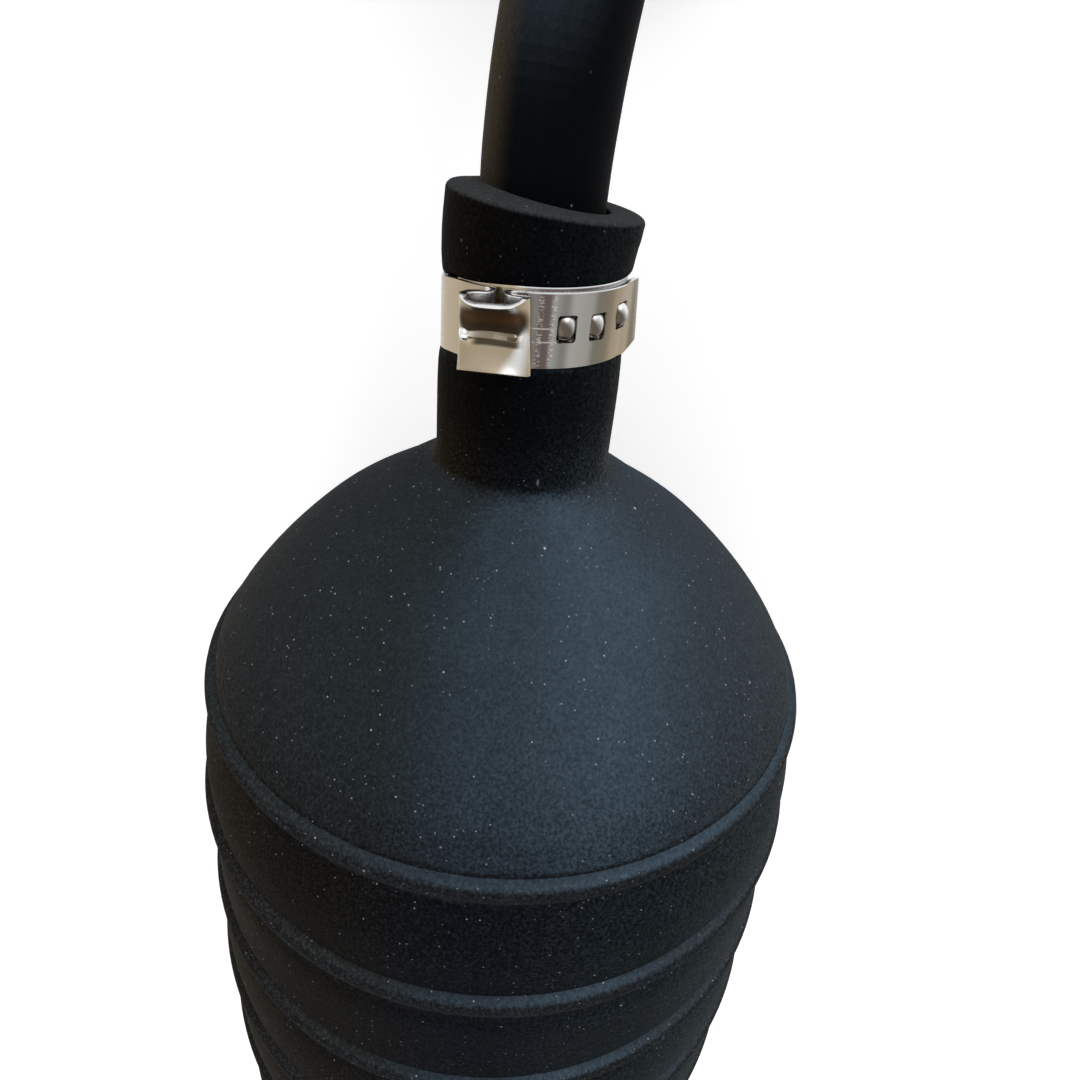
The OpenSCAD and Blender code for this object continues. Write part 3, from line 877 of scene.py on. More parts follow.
        # Painted highlight on the hooks' side that faces +X and -Y, painted shade on their other side.
        to_light = (s.product(side, share) for side, share in zip((up, left), self.lit))
        lit = s.ramp(s.sum("SUBTRACT", *to_light), *self.lit_edge)
        colour = s.blend(s.within(turn, *self.hook_turns), colour, s.blend(lit, self.dull_and_shade, self.gleam))
        # Painted highlights along the rims.
        rims = s.product(
            s.most(*(s.within(turn, *turns) for turns in self.rim_turns)), s.ramp(across, *self.rim_w),
        )
        return s.blend(rims, colour, self.gleam)

    def material(self) -> bpy.types.Material:
        """Makes the material.

        Returns:
            The material.
        """
        s = Shader(bpy.data.materials.new("clamp_steel"))
        place = s.attribute("strap_space")
        form = s.attribute("strap_form")
        turn, along, across = (s.part(form, axis) for axis in "XYZ")
        rolled, cloud = (noise.share_at(s, place) for noise in (self.roll_noise, self.cloud_noise))
        dish = s.product(
            self.dish.share_at(s, along, across), s.within(across, *self.dish_reach, self.dish_soft),
        )
        colour = self.strap_tints(s, turn, across, place)
        colour = self.ear_tints(s, colour, along, across, dish, cloud)
        scraped = self.scratches(s, turn, across, place)
        colour = s.blend(scraped, colour, self.scratch)
        rough = s.most(
            s.sum("ADD", s.spread(rolled, *self.rough), s.spread(cloud, *self.cloud_rough)),
            s.product(s.most(scraped, dish), self.dirt_rough),
        )
        bumps = s.bump(rolled, self.roll_depth, s.bump(scraped, self.scratch_depth))
        return s.surface(Base_Color=colour, Metallic=1.0, Roughness=rough, Normal=bumps)


@dataclass(frozen=True)
class PlainFinish:
    """A fine-grained moulded, turned or drawn surface, for the pieces inside the pump.

    Attributes:
        shade: The colour of its grain.
        metallic: 1 for bare metal.
        cloud: How many grains one cloud is long.
        rough_swing: How far the clouds change the roughness.
    """

    name: str
    base: Colour
    shade: Colour
    rough: float
    metallic: float = 0.0
    grain: float = 900.0
    cloud: float = 12.0
    rough_swing: float = 0.08
    depth: float = 0.00002

    def material(self) -> bpy.types.Material:
        """Makes the material.

        Returns:
            The material.
        """
        s = Shader(bpy.data.materials.new(self.name))
        place = s.place()
        fine = Noise(self.grain, 3.0).share_at(s, place)
        cloud = Noise(self.grain / self.cloud).share_at(s, place)
        return s.surface(
            Base_Color=s.blend(s.product(fine, cloud), self.base, self.shade),
            Roughness=s.spread(cloud, self.rough - self.rough_swing, self.rough + self.rough_swing),
            Metallic=self.metallic, Normal=s.bump(fine, self.depth),
        )


@dataclass(frozen=True)
class TieFabric:
    """Dark woven strap: warp and weft in the strap's own space.

    Attributes:
        pitch: From thread to thread.
        weave: The weave's height between threads and on them.
    """

    base: Colour = (0.022, 0.023, 0.026)
    thread: Colour = (0.060, 0.062, 0.068)
    pitch: float = 0.0007
    weave: Range = (0.5, 1.0)
    fuzz_noise: Noise = Noise(5000)
    weave_depth: float = 0.00012
    fuzz_depth: float = 0.00008
    rough: float = 0.85
    sheen: float = 0.25

    def material(self) -> bpy.types.Material:
        """Makes the material; the mesh holds strap_space, its place on the flat strap.

        Returns:
            The material.
        """
        s = Shader(bpy.data.materials.new("tie_fabric"))
        place = s.attribute("strap_space")
        turns = 2 * math.pi / self.pitch
        threads = (s.sum("SINE", s.product(s.part(place, axis), turns)) for axis in "XY")
        weave = s.spread(s.product(*threads), *self.weave)
        fuzz = self.fuzz_noise.share_at(s, place)
        colour = s.blend(s.product(weave, fuzz), self.base, self.thread)
        bumps = s.bump(weave, self.weave_depth, s.bump(fuzz, self.fuzz_depth))
        return s.surface(Base_Color=colour, Roughness=self.rough, Normal=bumps, Sheen_Weight=self.sheen)


BLACK_PLASTIC = PlainFinish(
    "valve_seat_plastic", (0.020, 0.022, 0.024), (0.035, 0.037, 0.040), 0.38, grain=1600,
)
VALVE_FINISHES = {
    "valve_body": PlainFinish("valve_acetal", (0.66, 0.64, 0.56), (0.52, 0.50, 0.42), 0.42, grain=1400),
    "valve_seat": BLACK_PLASTIC,
    "valve_retainer": replace(BLACK_PLASTIC, name="valve_cap_plastic"),
    "valve_seal": PlainFinish("seal_rubber", (0.045, 0.020, 0.012), (0.065, 0.034, 0.022), 0.60, grain=2200),
    "valve_ball": PlainFinish("ball_steel", (0.68, 0.69, 0.70), (0.60, 0.61, 0.62), 0.14, 1.0, grain=700),
}
SPRING_FINISH = PlainFinish("spring_steel", (0.58, 0.58, 0.59), (0.40, 0.40, 0.41), 0.28, 1.0, grain=1800)


def dress_valves() -> None:
    """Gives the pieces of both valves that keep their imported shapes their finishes."""
    for ending, finish in VALVE_FINISHES.items():
        material = finish.material()
        for node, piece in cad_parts.items():
            if node.endswith(ending):
                for place in piece.material_slots:
                    place.material = material
                LOG.info("%s: %s", node, finish.name)


# ---- Meshes -------------------------------------------------------------------------


def lathe(profile: Outline, axis_z: float, steps: int) -> bmesh.types.BMesh:
    """Spins a closed outline round the bulb's axis.

    Args:
        profile: The outline's points in order, each its place along X and its radius.
        axis_z: Height of the axis.
        steps: Stretches round the full turn.

    Returns:
        The closed solid of revolution.
    """
    bm = bmesh.new()
    ring = [bm.verts.new((x, 0, axis_z + r)) for x, r in profile]
    for a, b in zip(ring, ring[1:] + ring[:1]):
        bm.edges.new((a, b))
    bmesh.ops.spin(
        bm, geom=bm.verts[:] + bm.edges[:], cent=(0, 0, axis_z), axis=(1, 0, 0),
        angle=2 * math.pi, steps=steps, use_merge=True,
    )
    bmesh.ops.recalc_face_normals(bm, faces=bm.faces)
    return bm


def hold_space(bm: bmesh.types.BMesh, name: str) -> bmesh.types.BMLayerItem:
    """Lets each vertex hold its present place for a material to follow.

    Args:
        bm: The mesh, in millimetres.
        name: The attribute that holds the place, in metres.

    Returns:
        The attribute's layer.
    """
    space = bm.verts.layers.float_vector.new(name)
    for v in bm.verts:
        v[space] = v.co * MM
    return space


def frames_along(path: Sequence[Vector]) -> list[Matrix]:
    """Stands a frame at each point of a path, turned as little as it can be.

    Args:
        path: The points.

    Returns:
        The frames, +Z along the path.
    """
    frames = []
    side = Vector((0, 1, 0))
    for i, point in enumerate(path):
        ahead = (path[min(i + 1, len(path) - 1)] - path[max(i - 1, 0)]).normalized()
        side = (side - ahead * side.dot(ahead)).normalized()
        turn = Matrix((side, ahead.cross(side), ahead)).transposed()
        frames.append(Matrix.Translation(point) @ turn.to_4x4())
    return frames


def swept_hose(path: Sequence[Vector], outer_r: float, bore_r: float, sides: int) -> bmesh.types.BMesh:
    """Drives the ring of a hose's cut end along a path.

    Args:
        path: The middle line.
        outer_r: Outside radius.
        bore_r: Inside radius.
        sides: Sides of the ring.

    Returns:
        The closed hose, its vertices holding hose_space.
    """
    bm = bmesh.new()
    for radius in (outer_r, bore_r):
        bmesh.ops.create_circle(bm, segments=sides, radius=radius)
    bmesh.ops.bridge_loops(bm, edges=bm.edges[:])
    space = hold_space(bm, "hose_space")
    frames = frames_along(path)
    bmesh.ops.transform(bm, matrix=frames[0], verts=bm.verts)
    faces = bm.faces[:]
    for before, after, a, b in zip(frames, frames[1:], path, path[1:]):
        made = bmesh.ops.extrude_face_region(bm, geom=faces)["geom"]
        verts = [g for g in made if isinstance(g, bmesh.types.BMVert)]
        faces = [g for g in made if isinstance(g, bmesh.types.BMFace)]
        bmesh.ops.transform(bm, matrix=after @ before.inverted(), verts=verts)
        for v in verts:
            v[space] = v[space] + Vector((0, 0, (b - a).length * MM))
    bmesh.ops.recalc_face_normals(bm, faces=bm.faces)
    return bm


def flat_strap(length: float, width: float, cell: float) -> bmesh.types.BMesh:
    """Lays out a flat strap from x = 0, y across its middle.

    Args:
        length: Its length.
        width: Its width.
        cell: About how far apart its vertices are.

    Returns:
        The strap, its vertices holding strap_space.
    """
    bm = bmesh.new()
    columns, rows = (round(size / cell) for size in (length, width))
    bmesh.ops.create_grid(bm, x_segments=columns, y_segments=rows, size=0.5)
    bmesh.ops.translate(bm, vec=(0.5, 0, 0), verts=bm.verts)
    bmesh.ops.scale(bm, vec=(length, width, 1), verts=bm.verts)
    hold_space(bm, "strap_space")
    return bm


@dataclass(frozen=True)
class Window:
    """A window with rounded corners in a flat strap.

    Attributes:
        middle: Its middle on the strap.
        half: Half its size along the strap and across it.
        round_r: Its corner radius.
        probe: How far apart its edge's slope is measured.
    """

    middle: Pair
    half: Pair
    round_r: float
    probe: float = 0.01

    def distance(self, x: float, y: float) -> float:
        """Distance of a place on the strap from the edge, negative in the window."""
        qx, qy = (abs(at - m) - h + self.round_r for at, m, h in zip((x, y), self.middle, self.half))
        return math.hypot(max(qx, 0), max(qy, 0)) + min(max(qx, qy), 0) - self.round_r

    def cut(self, bm: bmesh.types.BMesh) -> None:
        """Opens the window and draws the cells' corners round it onto its edge.

        Args:
            bm: The flat strap.
        """
        inside = [f for f in bm.faces if self.distance(*f.calc_center_median().xy) < 0]
        rim = {v for f in inside for v in f.verts}
        bmesh.ops.delete(bm, geom=inside, context="FACES")
        for v in rim:
            if v.is_valid:
                x, y = v.co.xy
                d = self.distance(x, y)
                beside = (self.distance(x + self.probe, y), self.distance(x, y + self.probe))
                v.co.xy -= Vector([(b - d) / self.probe for b in beside]) * d


def finish_piece(
    bm: bmesh.types.BMesh, name: str, material: bpy.types.Material, nodes: Sequence[str],
    sharp_deg: float = 35.0,
) -> bpy.types.Object:
    """Turns a mesh in millimetres into a piece of the pump.

    Args:
        bm: The mesh, in the row frame; it is freed.
        name: The piece's name.
        material: Its finish.
        nodes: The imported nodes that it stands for.
        sharp_deg: Edges that bend more than this stay sharp.

    Returns:
        The piece.
    """
    bmesh.ops.scale(bm, vec=(MM, MM, MM), verts=bm.verts)
    mesh = bpy.data.meshes.new(name)
    bm.to_mesh(mesh)
    bm.free()
    mesh.shade_smooth()
    mesh.set_sharp_from_angle(angle=math.radians(sharp_deg))
    mesh.materials.append(material)
    piece = bpy.data.objects.new(name, mesh)
    bpy.context.scene.collection.objects.link(piece)
    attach(piece, PUMP)
    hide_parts(*nodes)
    LOG.info("%s: %d faces", name, len(mesh.polygons))
    return piece


def thicken(piece: bpy.types.Object, thickness: float, rounding: float, sharp_deg: float = 50.0) -> None:
    """Gives a strap its thickness about its middle and rounds its edges.

    Args:
        piece: The strap.
        thickness: Its thickness.
        rounding: Width of the rounding.
        sharp_deg: Edges that bend more than this are rounded.
    """
    solid = piece.modifiers.new("thickness", "SOLIDIFY")
    solid.thickness = thickness * MM
    solid.offset = 0
    solid.use_even_offset = True
    bevel = piece.modifiers.new("rounding", "BEVEL")
    bevel.width = rounding * MM
    bevel.segments = 2
    bevel.limit_method = "ANGLE"
    bevel.angle_limit = math.radians(sharp_deg)


# ---- Camera, floor and lamps --------------------------------------------------------


@dataclass
class View:
    """The camera. Its place is in millimetres in the row frame.

    Attributes:
        place: Where it stands.
        right: What lies to its right.
        up: What lies above it.
        clip: The nearest and the furthest that it sees, in metres.
    """

    place: Point = (129.128, -2.038, 117.906)
    right: Point = (0.08705, -0.99523, -0.04408)
    up: Point = (0.83231, 0.09697, -0.54576)
    lens: float = 25.0
    sensor: float = 36.0
    clip: Range = (0.001, 20.0)

    def build(self) -> None:
        """Makes the camera and has the scene seen through it."""
        camera = bpy.data.cameras.new("camera")
        camera.lens = self.lens
        camera.sensor_width = self.sensor
        camera.clip_start, camera.clip_end = self.clip
        right, up = Vector(self.right), Vector(self.up)
        seen = bpy.data.objects.new("camera", camera)
        turn = Matrix((right, up, right.cross(up))).transposed()
        seen.matrix_world = Matrix.Translation(Vector(self.place) * MM) @ turn.to_4x4()
        bpy.context.scene.collection.objects.link(seen)
        bpy.context.scene.camera = seen


@dataclass(frozen=True)
class Lamp:
    """A soft rectangular lamp that looks at the pump. Its place and size are in metres."""

    name: str
    place: Point
    size: Pair
    power: float

    def build(self) -> None:
        """Hangs the lamp."""
        light = bpy.data.lights.new(self.name, "AREA")
        light.shape = "RECTANGLE"
        light.size, light.size_y = self.size
        light.energy = self.power
        lamp = bpy.data.objects.new(self.name, light)
        lamp.location = self.place
        lamp.rotation_euler = (-Vector(self.place)).to_track_quat("-Z", "Y").to_euler()
        bpy.context.scene.collection.objects.link(lamp)


@dataclass
class Studio:
    """A pale floor, white surroundings and soft lamps.

    Attributes:
        floor_lift: How much it glows, to be seen as white.
        ambient: How bright the surroundings' own light is.
    """

    floor_half: float = 1.6
    floor_colour: Colour = (0.80, 0.80, 0.80)
    floor_lift: float = 0.52
    ambient: float = 0.45
    lamps: tuple[Lamp, ...] = (
        Lamp("key", (1.75, -0.15, 1.15), (2.8, 2.0), 26.0),
        Lamp("fill", (-1.2, 0.9, 1.5), (2.2, 2.2), 9.0),
        Lamp("glint", (1.06, -0.46, 0.60), (0.3, 0.3), 2.3),
    )

    def build(self) -> None:
        """Makes the surroundings, the floor and the lamps."""
        self.build_world()
        self.build_floor()
        for lamp in self.lamps:
            lamp.build()

    def white_share(self, s: Shader) -> Socket:
        """1 for the rays that see the background: from the camera, in metal and through glass."""
        path = s.node("ShaderNodeLightPath").outputs
        return s.most(*(path[f"Is {ray} Ray"] for ray in ("Camera", "Glossy", "Transmission")))

    def build_world(self) -> None:
        """Makes surroundings that are seen as white and give a plain soft light."""
        world = bpy.data.worlds.new("surroundings")
        bpy.context.scene.world = world
        s = Shader(world)
        strength = s.spread(self.white_share(s), self.ambient, 1.0)
        light = s.node("ShaderNodeBackground", {"Color": WHITE, "Strength": strength})
        s.node("ShaderNodeOutputWorld", {"Surface": light.outputs[0]})

    def floor_material(self) -> bpy.types.Material:
        """Makes the floor's finish, which is seen as white and keeps the shadow.

        Returns:
            The material.
        """
        s = Shader(bpy.data.materials.new("floor"))
        diffuse = s.node("ShaderNodeBsdfDiffuse", {"Color": self.floor_colour})
        strength = s.product(self.white_share(s), self.floor_lift)
        glow = s.node("ShaderNodeEmission", {"Color": WHITE, "Strength": strength})
        both = s.node("ShaderNodeAddShader", {0: diffuse.outputs[0], 1: glow.outputs[0]})
        s.node("ShaderNodeOutputMaterial", {"Surface": both.outputs[0]})
        return s.owner

    def build_floor(self) -> None:
        """Makes the floor."""
        bm = bmesh.new()
        bmesh.ops.create_grid(bm, x_segments=1, y_segments=1, size=self.floor_half)
        mesh = bpy.data.meshes.new("floor")
        bm.to_mesh(mesh)
        bm.free()
        mesh.materials.append(self.floor_material())
        floor = bpy.data.objects.new("floor", mesh)
        bpy.context.scene.collection.objects.link(floor)


# ---- Sub-assemblies -----------------------------------------------------------------


@dataclass(frozen=True)
class EarShape:
    """A clamp's ear.

    Both half outlines run from the ear's foot to the middle of its top. Each point is its
    place along the band from the ear's middle, and out from the outer layer's middle.

    Attributes:
        foot_turn: Turn from the ear's middle to its feet.
        edge: Half outline at the band's edges.
        middle: Half outline at mid-width.
        rib_half: Half the length of the rib over its top.
        rib_width: Where the rib has fallen to nothing beside its middle.
        rib_round: Length of the rib's rounded ends.
        rib_skew: How far the rib leans across the band along its length.
        knob_place: The knob's place past the rib's end and below the rib.
        top_half: Half the length of the top that has the rib.
        dish_power: How sharply the outline changes towards the edges.
        dirt_and_light: Whether the ear's dirt, and its painted light and shade, lie on it.
        raised: The heights between which the pincers have bent it aside.
        lean: How far it leans along the bulb.
        sink: How much further its top does.
        dip: How much more its +X edge does than its other edge.
        flare: How far its -X edge is drawn aside.
        tilt: Slope of its top along the bulb.
    """

    foot_turn: float
    edge: tuple[Pair, ...]
    middle: tuple[Pair, ...]
    rib_half: float
    rib_height: float
    rib_width: float = 0.30
    rib_round: float = 0.35
    rib_w: float = 0.12
    rib_skew: float = 0.02
    knob: float = 0.34
    knob_place: Pair = (0.2, 0.1)
    knob_r: float = 0.62
    top_half: float = 3.6
    dish_power: float = 1.7
    half_e: float = 3.0
    dirt_and_light: bool = True
    raised: Range = (0.9, 2.1)
    lean: float = -0.22
    sink: float = 0.29
    dip: float = 0.42
    flare: float = 0.6
    tilt: float = 0.06

    def relief(self, e: float, w: float) -> float:
        """How far the rib and the knob stand out of the ear's top.

        Args:
            e: The place along the ear, from its middle.
            w: The place across the strap.

        Returns:
            The height.
        """
        across = w - self.rib_skew * e - self.rib_w
        beyond = max(0.0, abs(e) - self.rib_half + self.rib_round)
        rib = self.rib_height * (1 - smooth(math.hypot(beyond, across) / self.rib_width))
        past, below = self.knob_place
        from_knob = math.hypot(e + self.rib_half + past, across + below)
        return max(rib, self.knob * (1 - smooth(from_knob / self.knob_r)))


class Ear(Enum):
    """A clamp's ear before and after the pincers have closed it."""

    CRIMPED = EarShape(
        foot_turn=15.0,
        edge=((1.7, -0.16), (1.2, -0.05), (0.86, 0.10), (0.74, 0.42), (0.95, 0.72), (1.45, 0.85),
              (2.05, 0.98), (2.6, 1.18), (2.92, 1.45), (3.0, 1.78), (2.82, 2.12), (2.3, 2.42),
              (1.55, 2.60), (0.75, 2.68), (0.0, 2.70)),
        middle=((1.7, -0.16), (1.2, -0.05), (0.86, 0.08), (0.74, 0.34), (0.95, 0.62), (1.45, 0.72),
                (2.05, 0.80), (2.7, 0.92), (3.04, 1.10), (3.10, 1.36), (2.86, 1.58), (2.3, 1.62),
                (1.55, 1.52), (0.8, 1.46), (0.0, 1.45)),
        rib_half=2.45, rib_height=0.24,
    )
    OPEN = EarShape(
        foot_turn=31.0,
        edge=((5.1, -1.0), (4.75, -0.35), (4.45, 0.6), (4.2, 1.6), (3.95, 2.6), (3.6, 3.5),
              (2.9, 4.1), (2.0, 4.2), (1.0, 4.2), (0.0, 4.2)),
        middle=((5.1, -1.0), (4.75, -0.35), (4.45, 0.6), (4.2, 1.6), (3.95, 2.6), (3.55, 3.35),
                (2.8, 3.8), (2.0, 3.85), (1.0, 3.8), (0.0, 3.8)),
        rib_half=2.2, rib_height=0.3, knob=0.0, dirt_and_light=False, lean=0.0, sink=0.0, dip=0.0, flare=0.0,
    )


@dataclass(frozen=True)
class Winding:
    """A wound strap's middle line, at its edges and at mid-width.

    Attributes:
        turns: The turn at each of its points, in degrees.
        gone: How far along the strap each point lies.
        edge: The points at the strap's edges, seen along the bulb.
        middle: The points at mid-width.
    """

    turns: list[float]
    gone: list[float]
    edge: list[Vector]
    middle: list[Vector]

    @property
    def length(self) -> float:
        """The strap's whole length."""
        return self.gone[-1]

    def place_of(self, turn: float) -> float:
        """How far along the strap a turn lies.

        Args:
            turn: The turn in degrees.

        Returns:
            The distance from the strap's outer end.
        """
        i = bisect.bisect(self.turns, turn)
        share = (turn - self.turns[i - 1]) / (self.turns[i] - self.turns[i - 1])
        return mix(self.gone[i - 1], self.gone[i], share)

    def turn_after(self, s: float) -> float:
        """The turn of the first of the points past a place along the strap."""
        return self.turns[min(bisect.bisect(self.gone, s), len(self.turns) - 1)]

    def at(self, s: float, level: float) -> tuple[float, Vector]:
        """Where a place on the strap comes to lie.

        Args:
            s: The place along it.
            level: 0 at mid-width and 1 at the edges.

        Returns:
            The turn in degrees, and the point seen along the bulb.
        """
        i = min(max(1, bisect.bisect(self.gone, s)), len(self.gone) - 1)
        share = (s - self.gone[i - 1]) / max(TINY, self.gone[i] - self.gone[i - 1])
        middle, edge = (line[i - 1].lerp(line[i], share) for line in (self.middle, self.edge))
        return mix(self.turns[i - 1], self.turns[i], share), middle.lerp(edge, level)


@dataclass
class EarClamp:
    """A hose clamp made of one strap, wound a little more than once round.

    The strap's outer end carries the windows and the ear. It comes round beneath itself,
    where its hooks stand in the windows and its tongue bridges the gap under the ear.
    Turns are in degrees from the top, towards +Y. A pair of turns is where a change starts
    and where it is done.

    Attributes:
        lean_y: How far it leans along the bulb towards +Y.
        lean_z: How far it leans along the bulb towards +Z.
        settle: Turns over which the outer layer comes down to the inner one.
        wind: How far its winding takes it along the bulb.
        wind_in: Turns over which it does.
        unwind: Turns over which it comes back.
        droop: How far its back hangs along the bulb.
        droop_in: Turns over which it comes to hang.
        droop_out: Turns over which it comes back.
        window_w: The windows' places across the strap.
        straight_turn: Turn at which the straight outer end meets the curve.
        tail_lift: How far the outer end's lower corner stands off.
        corner: The cut at the outer end's lower corner, along the strap and across it.
        tongue_turn: Turn at which the inner end's tongue ends.
        fine: How far apart the strap's vertices are across it, and along it where it is shaped.
        coarse: How far apart they are along the rest of it.
        hook_reach: How far round a hook the strap counts as shaped, in degrees.
        tongue_reach: The same before the tongue's end.
    """

    name: str
    node: str
    ear: Ear
    middle_x: float
    middle_z: float
    inner_r: float
    ear_turn: float
    lean_y: float = 0.0
    lean_z: float = 0.0
    width: float = 6.95
    thickness: float = 0.6
    edge_round: float = 0.14
    settle: Range = (60.0, 110.0)
    wind: float = 0.30
    wind_in: Range = (60.0, 260.0)
    unwind: Range = (365.0, 411.0)
    droop: float = 0.58
    droop_in: Range = (45.0, 85.0)
    droop_out: Range = (150.0, 300.0)
    windows: Point = (-20.8, -41.0, -63.0)
    window_half: Pair = (0.92, 1.27)
    window_w: Point = (0.17, 0.13, 0.60)
    window_round: float = 0.3
    hook_half: Pair = (0.78, 1.08)
    hook_height: Point = (0.78, 0.78, 1.15)
    hook_power: float = 2.4
    straight_turn: float = -65.0
    tail: float = 3.0
    tail_lift: float = 0.6
    corner: Pair = (1.9, 0.95)
    tongue_turn: float = 420.0
    tongue_tip: float = 1.3
    fine: float = 0.13
    coarse: float = 0.6
    hook_reach: float = 9.0
    tongue_reach: float = 20.0
    tail_steps: int = 12
    ear_steps: int = 7

    @property
    def outer_r(self) -> float:
        """Middle radius of the outer layer."""
        return self.inner_r + self.thickness

    def radius(self, turn: float) -> float:
        """Middle radius of the strap at a turn, as it settles from outer layer to inner."""
        return mix(self.outer_r, self.inner_r, ramp(turn, *self.settle))

    def shift(self, turn: float) -> float:
        """How far along the bulb the strap lies at a turn."""
        wound = self.wind * ramp(turn, *self.wind_in) * (1 - ramp(turn, *self.unwind))
        return wound - self.droop * ramp(turn, *self.droop_in) * (1 - ramp(turn, *self.droop_out))

    def arc(self, start: float, stop: float) -> Line:
        """Follows the wound strap from one turn to another.

        Args:
            start: The first turn.
            stop: The last turn.

        Returns:
            Turns and points, about a degree apart.
        """
        steps = math.ceil(abs(stop - start))
        turns = [mix(start, stop, k / steps) for k in range(steps + 1)]
        return [(turn, outward(turn) * self.radius(turn)) for turn in turns]

    def tail_line(self) -> Line:
        """Follows the straight outer end, up to where it meets the curve.

        Returns:
            Turns and points.
        """
        turn = self.straight_turn
        start = outward(turn) * self.radius(turn)
        left = [self.tail * (1 - k / self.tail_steps) for k in range(self.tail_steps)]
        return [(turn - math.degrees(d / self.outer_r), start - onward(turn) * d) for d in left]

    def ear_line(self, half: Sequence[Pair]) -> Line:
        """Follows the ear from foot to foot.

        Args:
            half: Its half outline.

        Returns:
            Turns and points.
        """
        span = self.ear.value.foot_turn
        foot = math.radians(span)
        outline = [(self.outer_r * math.sin(foot), self.outer_r * (math.cos(foot) - 1)), *half]
        both = [(-e, h) for e, h in outline] + outline[-2::-1]
        out, on = outward(self.ear_turn), onward(self.ear_turn)
        line = spline([out * (self.outer_r + h) + on * e for e, h in both], self.ear_steps)
        return [(self.ear_turn + mix(-span, span, k / (len(line) - 1)), p) for k, p in enumerate(line)]

    def wound(self, half: Sequence[Pair]) -> Line:
        """Follows the whole strap from its outer end to its tongue.

        Args:
            half: The ear's half outline.

        Returns:
            Turns and points.
        """
        foot = self.ear.value.foot_turn
        return [
            *self.tail_line(), *self.arc(self.straight_turn, self.ear_turn - foot)[:-1],
            *self.ear_line(half), *self.arc(self.ear_turn + foot, self.tongue_turn)[1:],
        ]

    def winding(self) -> Winding:
        """Winds the strap's middle line, with the ear's outlines at its edges and mid-width.

        Returns:
            The winding.
        """
        edge, middle = (self.wound(half) for half in (self.ear.value.edge, self.ear.value.middle))
        turns = [turn for turn, _ in edge]
        edge, middle = ([point for _, point in line] for line in (edge, middle))
        gone = [(a + b) / 2 for a, b in zip(distances(edge), distances(middle))]
        return Winding(turns, gone, edge, middle)

    def columns(self, winding: Winding) -> list[float]:
        """Chooses where the strap's columns lie: close together where it is shaped.

        Args:
            winding: The wound strap.

        Returns:
            Their places along it.
        """
        fine_until = self.ear_turn + self.ear.value.foot_turn
        hooks = [360 + turn for turn in self.windows]
        columns, s = [0.0], 0.0
        while s < winding.length - self.fine:
            turn = winding.turn_after(s)
            at_hook = any(abs(turn - hook) < self.hook_reach for hook in hooks)
            shaped = turn < fine_until or at_hook or turn > self.tongue_turn - self.tongue_reach
            s += self.fine if shaped else self.coarse
            columns.append(min(s, winding.length))
        return columns

    def edges(self, s: float, length: float) -> Pair:
        """Finds the flat strap's edges, with its cut corner and its tongue's tip.

        Args:
            s: The place along it.
            length: Its length.

        Returns:
            Its lower and its upper edge there.
        """
        half = self.width / 2
        cut_s, cut_w = self.corner
        low = -half + cut_w * max(0.0, 1 - s / cut_s)
        left = max(0.0, 1 - (length - s) / self.tongue_tip)
        tip = half * (1 - math.sqrt(max(0.0, 1 - left ** 2)))
        return low + tip, half - tip

    def flat(self, winding: Winding) -> bmesh.types.BMesh:
        """Lays the strap out flat and opens its windows.

        Args:
            winding: The wound strap.

        Returns:
            The strap, its vertices holding strap_space.
        """
        columns = self.columns(winding)
        rows = round(self.width / self.fine)
        bm = bmesh.new()
        bmesh.ops.create_grid(bm, x_segments=len(columns) - 1, y_segments=rows, size=0.5)
        for v in bm.verts:
            s = columns[round((v.co.x + 0.5) * (len(columns) - 1))]
            low, high = self.edges(s, winding.length)
            v.co.xy = s, mix(low, high, v.co.y + 0.5)
        for turn, w in zip(self.windows, self.window_w):
            Window((winding.place_of(turn), w), self.window_half, self.window_round).cut(bm)
        hold_space(bm, "strap_space")
        return bm

    def hook(self, s: float, w: float, hooks: Sequence[Pair]) -> float:
        """How far a hook stands out of the inner layer.

        Args:
            s: The place along the strap.
            w: The place across it.
            hooks: The hooks' places.

        Returns:
            The height.
        """
        for hook, height in zip(hooks, self.hook_height):
            away = (abs((at - mid) / half) for at, mid, half in zip((s, w), hook, self.hook_half))
            q = sum(share ** self.hook_power for share in away)
            if q < 1:
                return height * math.sqrt(1 - q)
        return 0.0

    def bend_ear(self, e: float, w: float, point: Vector) -> float:
        """Bends the ear aside, as the pincers left it.

        Args:
            e: The place along the ear, from its middle.
            w: The place across the strap.
            point: Where that place lies, seen along the bulb; it is moved.

        Returns:
            How far it moves along the bulb.
        """
        shape = self.ear.value
        aside = -onward(self.ear_turn)
        height = max(0.0, point.length - self.outer_r)
        raised = ramp(height, *shape.raised)
        u = 2 * w / self.width
        top = max(0.0, 1 - (e / shape.half_e) ** 4)
        point += aside * (shape.flare * raised * max(0.0, -u) * smooth(e / shape.half_e))
        along = shape.lean * smooth(height) - raised * top * (shape.sink + shape.dip * u)
        return along + shape.tilt * raised * point.dot(aside)

